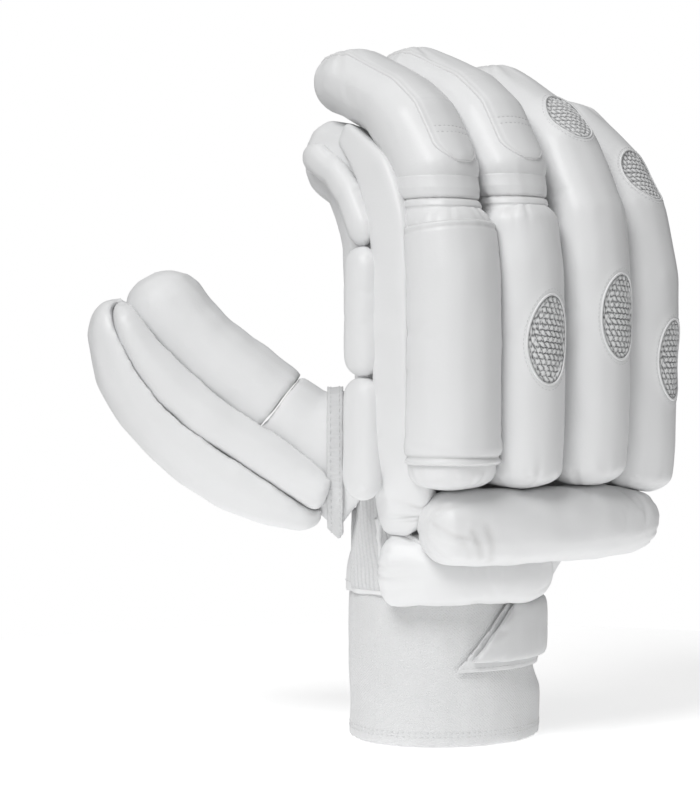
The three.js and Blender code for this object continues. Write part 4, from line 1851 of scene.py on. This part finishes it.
@dataclass
class Bolsters:
    """The roll over the knuckles and the roll over the wrist.

    Attributes:
        stuffing: how they swell.
    """

    stuffing: Stuffing = field(default_factory=lambda: Stuffing(voxel=0.0016, slack=0.045))

    def build(self) -> dict[str, bpy.types.Object]:
        """Builds both rolls.

        Returns:
            The rolls by the name of their node.
        """
        carriers = {
            "knuckle_roll": ("hand_shell", "index_base_roll", "middle_base_roll", "ring_roll", "little_roll"),
            "wrist_roll": ("hand_shell", "cuff", "knuckle_roll"),
        }
        made = {}
        creases = {
            "knuckle_roll": (
                Groove(
                    line_mm((-44, -45, 83), (-42.5, -49.4, 81), (-40.4, -52.8, 79), (-35.8, -56, 78)),
                    0.0005,
                    0.0010,
                ),
                Groove(line_mm((-34.5, -57, 80), (-31, -56, 75), (-28, -53.9, 70.5)), 0.0005, 0.0016),
                Groove(line_mm((-29, -58, 82), (-26, -57, 76), (-22.8, -52, 69.6)), 0.0004, 0.0018),
                Groove(line_mm((-38, -55, 76), (-35, -55, 72.5), (-33, -53, 69.5)), 0.0003, 0.0014),
                Groove(line_mm((-43.5, -44, 88), (-40, -50, 89), (-36, -53.5, 90)), 0.0003, 0.0012),
                Gather((-0.0435, -0.040, 0.081), (1.0, 0.0, 0.0), 5, 0.010, 0.00025),
                Gather((0.0630, -0.040, 0.081), (-1.0, 0.0, 0.0), 6, 0.012, 0.0004),
            ),
            "wrist_roll": (
                Groove(line_mm((-41, -17, 76), (-40.5, -17.5, 66), (-39, -17.5, 55)), 0.0006, 0.0007),
                Gather((-0.041, -0.014, 0.066), (0.5, -0.86, 0.0), 7, 0.012, 0.0004),
                Gather((0.019, -0.040, 0.064), (-1.0, 0.0, 0.0), 8, 0.012, 0.0003),
            ),
        }
        for seed, (node, carried) in enumerate(carriers.items()):
            form = Form(node + "_padding", (node,), Finish.PADDING, "padding_skin")
            form.fill(self.stuffing, carried)
            form.mould(Uneven(0.00025, 0.016, 20 + seed), *creases[node])
            made[node] = form.done(0.75)
        return made


@dataclass
class SideBars:
    """The three flat pads on the side towards the thumb.

    Attributes:
        stuffing: how they swell.
    """

    stuffing: Stuffing = field(
        default_factory=lambda: Stuffing(voxel=0.0011, smooth=3, swell=0.0006, full=0.0009)
    )

    def build(self) -> None:
        """Builds the pads."""
        for seed, node in enumerate(("side_bar_lower", "side_bar_middle", "side_bar_upper")):
            form = Form(node + "_padding", (node,), Finish.PADDING, "padding_skin")
            form.fill(self.stuffing, ("hand_shell", "index_stall"))
            form.mould(Uneven(0.00012, 0.014, 30 + seed))
            form.done(0.8)


@dataclass
class Thumb:
    """The thumb: its leather, its two guards and the edging at its root.

    Attributes:
        guard: how the guards swell.
        leather: face size of the leather.
    """

    guard: Stuffing = field(default_factory=lambda: Stuffing(voxel=0.0017, slack=0.03))
    leather: float = 0.0014

    def build(self) -> dict[str, bpy.types.Object]:
        """Builds the thumb's pieces.

        Returns:
            The thumb's leather pieces and edging by node.
        """
        made = {}
        for seed, node in enumerate(("thumb_inner_guard", "thumb_outer_guard")):
            form = Form(node + "_padding", (node,), Finish.GUARD, "padding_skin")
            form.fill(self.guard, ("thumb_stall", "thumb_base"))
            form.mould(Uneven(0.0002, 0.02, 40 + seed))
            form.done(0.8)
        for seed, node in enumerate(("thumb_base", "thumb_stall")):
            form = Form(node + "_leather", (node,), Finish.LEATHER, "palm_leather")
            form.remesh(self.leather, 5)
            form.mould(Uneven(0.0003, 0.016, 44 + seed))
            made[node] = form.done()
        form = Form("thumb_edging_cloth", ("thumb_edging",), Finish.CLOTH, "trim_cloth")
        form.remesh(0.0007, 4)
        form.mould(Uneven(0.0001, 0.01, 48))
        made["thumb_edging"] = form.done()
        return made


@dataclass
class Leather:
    """The leather of the hand and of the four fingers, sewn into one.

    Attributes:
        voxel: face size.
        grow: how far the solids grow to meet, before they shrink back.
    """

    voxel: float = 0.0015
    grow: float = 0.0003

    def build(self) -> bpy.types.Object:
        """Builds the leather.

        Returns:
            The piece.
        """
        names = ("hand_shell", "index_stall", "middle_stall", "ring_stall", "little_stall")
        form = Form("hand_leather", names, Finish.LEATHER, "palm_leather")
        only(form.piece)
        set_points(form.piece, points_of(form.piece) + normals_of(form.piece) * self.grow)
        form.remesh(self.voxel, 0)
        set_points(form.piece, points_of(form.piece) - normals_of(form.piece) * self.grow)
        shaped(form.piece, "SMOOTH", iterations=3, factor=0.5)
        form.mould(Uneven(0.0003, 0.02, 50), *self.creases(Face(form.piece)))
        piece = form.done()
        self.sew(piece)
        return piece

    @staticmethod
    def creases(face: Face) -> list[Relief]:
        """Gives the creases that the bent hand leaves in the palm, and its seams.

        Args:
            face: the outside of the leather.

        Returns:
            The reliefs.
        """
        lines = (
            ((-36, 32, 147), (-14, 32, 139), (14, 32, 139), (42, 32, 150)),
            ((-36, 32, 129), (-6, 32, 118), (24, 32, 113), (50, 32, 112)),
            ((-37, 32, 118), (-20, 32, 108), (-12, 32, 92), (-16, 32, 70)),
            ((-30, 32, 157), (-10, 32, 154), (10, 32, 155), (30, 32, 159)),
        )
        sizes = ((0.0006, 0.0013), (0.0007, 0.0015), (0.0006, 0.0010), (0.0003, 0.0010))
        made = []
        for corners, (depth, width) in zip(lines, sizes):
            line = lain(line_mm(*corners), face, 0.0015, 0.0)
            made.append(Groove(tuple(map(tuple, line)), depth, width, 0.35))
        return made

    @staticmethod
    def sew(leather: bpy.types.Object) -> None:
        """Sews the hem at the wrist and the seam of the thumb's ball.

        Args:
            leather: the finished leather.
        """
        face = Face(leather)
        hem = []
        for turn in np.linspace(0, 2 * math.pi, 200):
            out = np.array((math.sin(turn), -math.cos(turn), 0.0))
            place = face.tree.ray_cast(Vector(out * 0.09 + (0.0, 0.0, 0.0580)), Vector(-out))[0]
            if place is not None:
                hem.append(np.array(place))
        corners = line_mm((-34, 32, 119), (-18, 32, 110), (-9.5, 32, 93), (-13, 32, 70))
        seams = [np.array(hem), lain(corners, face, 0.001, 0.0)]
        Sewing(pitch=0.0022, length=0.0014, thick=0.0004).along("palm_stitches", seams, face)


@dataclass
class RibbedGusset:
    """The ribbed cloth between the thumb, the wrist roll and the lowest side bar.

    Attributes:
        rib: from one rib to the next.
        low: height of its lower end.
        high: height of its upper end.
        inmost: how far in it goes where it spans the thumb's opening, as a place along X.
    """

    rib: float = 0.0021
    low: float = 0.0560
    high: float = 0.0950
    inmost: float = -0.0368

    def build(self, leather: bpy.types.Object) -> None:
        """Lays the cloth on the leather.

        Args:
            leather: the finished leather of the hand.
        """
        heights = np.linspace(self.low, self.high, 46)
        outs = np.linspace(-0.0105, 0.0135, 100)
        starts = np.zeros((len(heights), len(outs), 3))
        starts[..., 0] = -0.0600
        starts[..., 1] = outs[None, :]
        starts[..., 2] = heights[:, None]
        ways = np.zeros_like(starts)
        ways[..., 0] = 1.0
        ways[..., 1] = -0.15
        layer = Layer("side_gusset_cloth", Face(leather), starts, ways / np.linalg.norm(ways[0, 0]))
        laid = points_of(layer.piece)
        laid[:, 0] = np.minimum(laid[:, 0], self.inmost)
        set_points(layer.piece, laid)
        lean = (heights[:, None] - self.low) * 0.05
        phase = (outs[None, :] + lean) * math.pi / self.rib
        rise = 0.0004 + 0.00065 * np.abs(np.sin(phase)) ** 0.8
        ends = np.minimum(heights - self.low, self.high - heights)[:, None]
        sides = np.minimum(outs - outs[0], outs[-1] - outs)[None, :]
        rise *= np.clip(np.minimum(ends, sides) / 0.0012, 0.1, 1)
        # The mark is painted shade in the valleys between the ribs.
        seam = np.clip(1 - np.abs(np.sin(phase)) * 1.6, 0, 1) * 0.8
        set_mark(layer.piece, "seam", np.broadcast_to(seam, rise.shape).reshape(-1))
        layer.lift(rise, 0.0008)
        layer.done(Finish.CLOTH, "trim_cloth", "side_gusset")


@dataclass
class Bindings:
    """The bound seams and the stitches on the leather round the wrist and the thumb.

    Attributes:
        thick: thickness of a binding.
    """

    thick: float = 0.0024

    def build(
        self,
        leather: bpy.types.Object,
        wrist: bpy.types.Object,
        thumb: dict[str, bpy.types.Object],
    ) -> None:
        """Lays the bindings and the stitches.

        Args:
            leather: the finished leather of the hand.
            wrist: the finished roll over the wrist.
            thumb: the thumb's leather pieces and edging by node.
        """
        face = Face(leather, wrist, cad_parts["wrist_roll"])
        upright = line_mm((-41.5, -12.0, 83), (-41, -11.5, 77.5), (-39.5, -10.5, 67.5), (-38, -10.8, 55.5))
        top = ((-41.5, -12.0, 83), (-39.5, -15.5, 80.5), (-37.5, -19, 78))
        curved = line_mm(*top, (-36.5, -24, 76), (-35.5, -30, 74.5))
        for number, corners in enumerate((upright, curved)):
            line = lain(corners, face, 0.0004, 0.0004)
            piece = bead(f"wrist_binding_{number + 1}", line, self.thick, Finish.PADDING, "padding_skin")
            press(piece, Uneven(0.00022, 0.0035, 90 + number), Uneven(0.0002, 0.012, 92 + number))
        sewing = Sewing(pitch=0.0021, length=0.0013, thick=0.0004)
        seams = []
        for shift in (-0.0022, 0.0022):
            corners = tuple((x, y + shift, z) for x, y, z in upright)
            seams.append(lain(corners, face, 0.0008, 0.0))
        sewing.along("wrist_binding_stitches", seams, face)
        self.round_edging(thumb["thumb_edging"])

    def round_edging(self, edging: bpy.types.Object) -> None:
        """Sews two rows of stitches round the thumb's edging.

        Args:
            edging: the finished edging.
        """
        points = points_of(edging)
        centre = points.mean(axis=0)
        _, axes = np.linalg.eigh(np.cov((points - centre).T))
        way, first, second = axes.T
        face = Face(edging)
        lines = []
        for shift in (-0.0016, 0.0016):
            line = []
            for turn in np.linspace(0, 2 * math.pi, 90):
                out = first * math.cos(turn) + second * math.sin(turn)
                place, _ = face.drop(centre + way * shift + out * 0.06, -out)
                line.append(np.array(place))
            lines.append(np.array(line))
        Sewing(pitch=0.0026, length=0.0017, thick=0.00045).along("thumb_edging_stitches", lines, face)


@dataclass
class Cuff:
    """The towelling cuff with its strap and its tab.

    Attributes:
        voxel: face size of the towelling.
    """

    voxel: float = 0.0016

    def build(self) -> None:
        """Builds the cuff's pieces."""
        form = Form("cuff_towelling", ("cuff",), Finish.KNIT, "cuff_towelling")
        form.remesh(self.voxel, 3)
        form.mould(Uneven(0.0003, 0.025, 60))
        form.done()
        unroll(form.piece)
        strap = Form("cuff_strap_skin", ("cuff_strap",), Finish.STRAP, "strap_skin")
        strap.remesh(0.0008, 1)
        strap.mould(Uneven(0.0001, 0.012, 62))
        strap.done()
        self.sew(form.piece, strap.piece)
        tab = Form("cuff_tab_skin", ("cuff_tab",), Finish.STRAP, "strap_skin")
        tab.fill(Stuffing(voxel=0.0008, swell=0.0008, sewn=0.0006, levels=0), ("cuff_strap", "cuff"))
        tab.mould(Uneven(0.0001, 0.012, 63))
        tab.done(0.7)


    @staticmethod
    def sew(cuff: bpy.types.Object, strap: bpy.types.Object) -> None:
        """Sews the cuff's hem and the strap's edges.

        Args:
            cuff: the finished towelling.
            strap: the finished strap.
        """
        face = Face(cuff, strap)
        turns = np.linspace(0, 2 * math.pi, 160)
        centre = points_of(cuff).mean(axis=0)
        hem = []
        for height in (0.0035, 0.0050):
            line = []
            for turn in turns:
                out = np.array((math.sin(turn), -math.cos(turn), 0.0))
                start = np.array((centre[0], centre[1], height)) + out * 0.08
                line.append(np.array(face.drop(start, -out)[0]))
            hem.append(np.array(line))
        Sewing(pitch=0.0022, length=0.0014, thick=0.0004).along("cuff_hem_stitches", hem, face)
        band = points_of(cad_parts["cuff_strap"])
        low = band[:, 2].min()
        strap_face = Face(strap)
        edge = []
        for turn in np.linspace(-0.55, 1.45, 90):
            out = np.array((math.sin(turn), -math.cos(turn), 0.0))
            start = np.array((centre[0], centre[1], low + 0.0016)) + out * 0.08
            place = strap_face.tree.ray_cast(Vector(start), Vector(-out))[0]
            if place is not None:
                edge.append(np.array(place))
        sewing = Sewing(pitch=0.0017, length=0.0011, thick=0.0003)
        sewing.along("cuff_strap_stitches", [np.array(edge)], strap_face)


def unroll(piece: bpy.types.Object) -> None:
    """Gives a tube about the Z axis a map of its length round and its height.

    Args:
        piece: the tube.
    """
    mesh = piece.data
    layer = mesh.uv_layers.new(name="flat")
    corners = np.zeros(len(mesh.loops), dtype=np.int32)
    mesh.loops.foreach_get("vertex_index", corners)
    points = points_of(piece)[corners]
    around = np.arctan2(points[:, 0], -points[:, 1])
    flat = np.stack([around * 0.035, points[:, 2]], axis=1)
    layer.data.foreach_set("uv", flat.astype(np.float32).ravel())


def main() -> None:
    """Builds the studio and the glove, piece by piece."""
    logging.basicConfig(level=logging.INFO, format="%(message)s")
    Studio().build()
    rolls = FingerPadding().build()
    JointFolds().build(rolls)
    Vents().build(rolls)
    WrapBand().build(rolls["index_base_roll"])
    TipPanels().build(rolls)
    bolsters = Bolsters().build()
    SideBars().build()
    thumb = Thumb().build()
    leather = Leather().build()
    SideBand().build()
    RibbedGusset().build(leather)
    Bindings().build(leather, bolsters["wrist_roll"], thumb)
    Cuff().build()


if __name__ == "__main__":
    main()
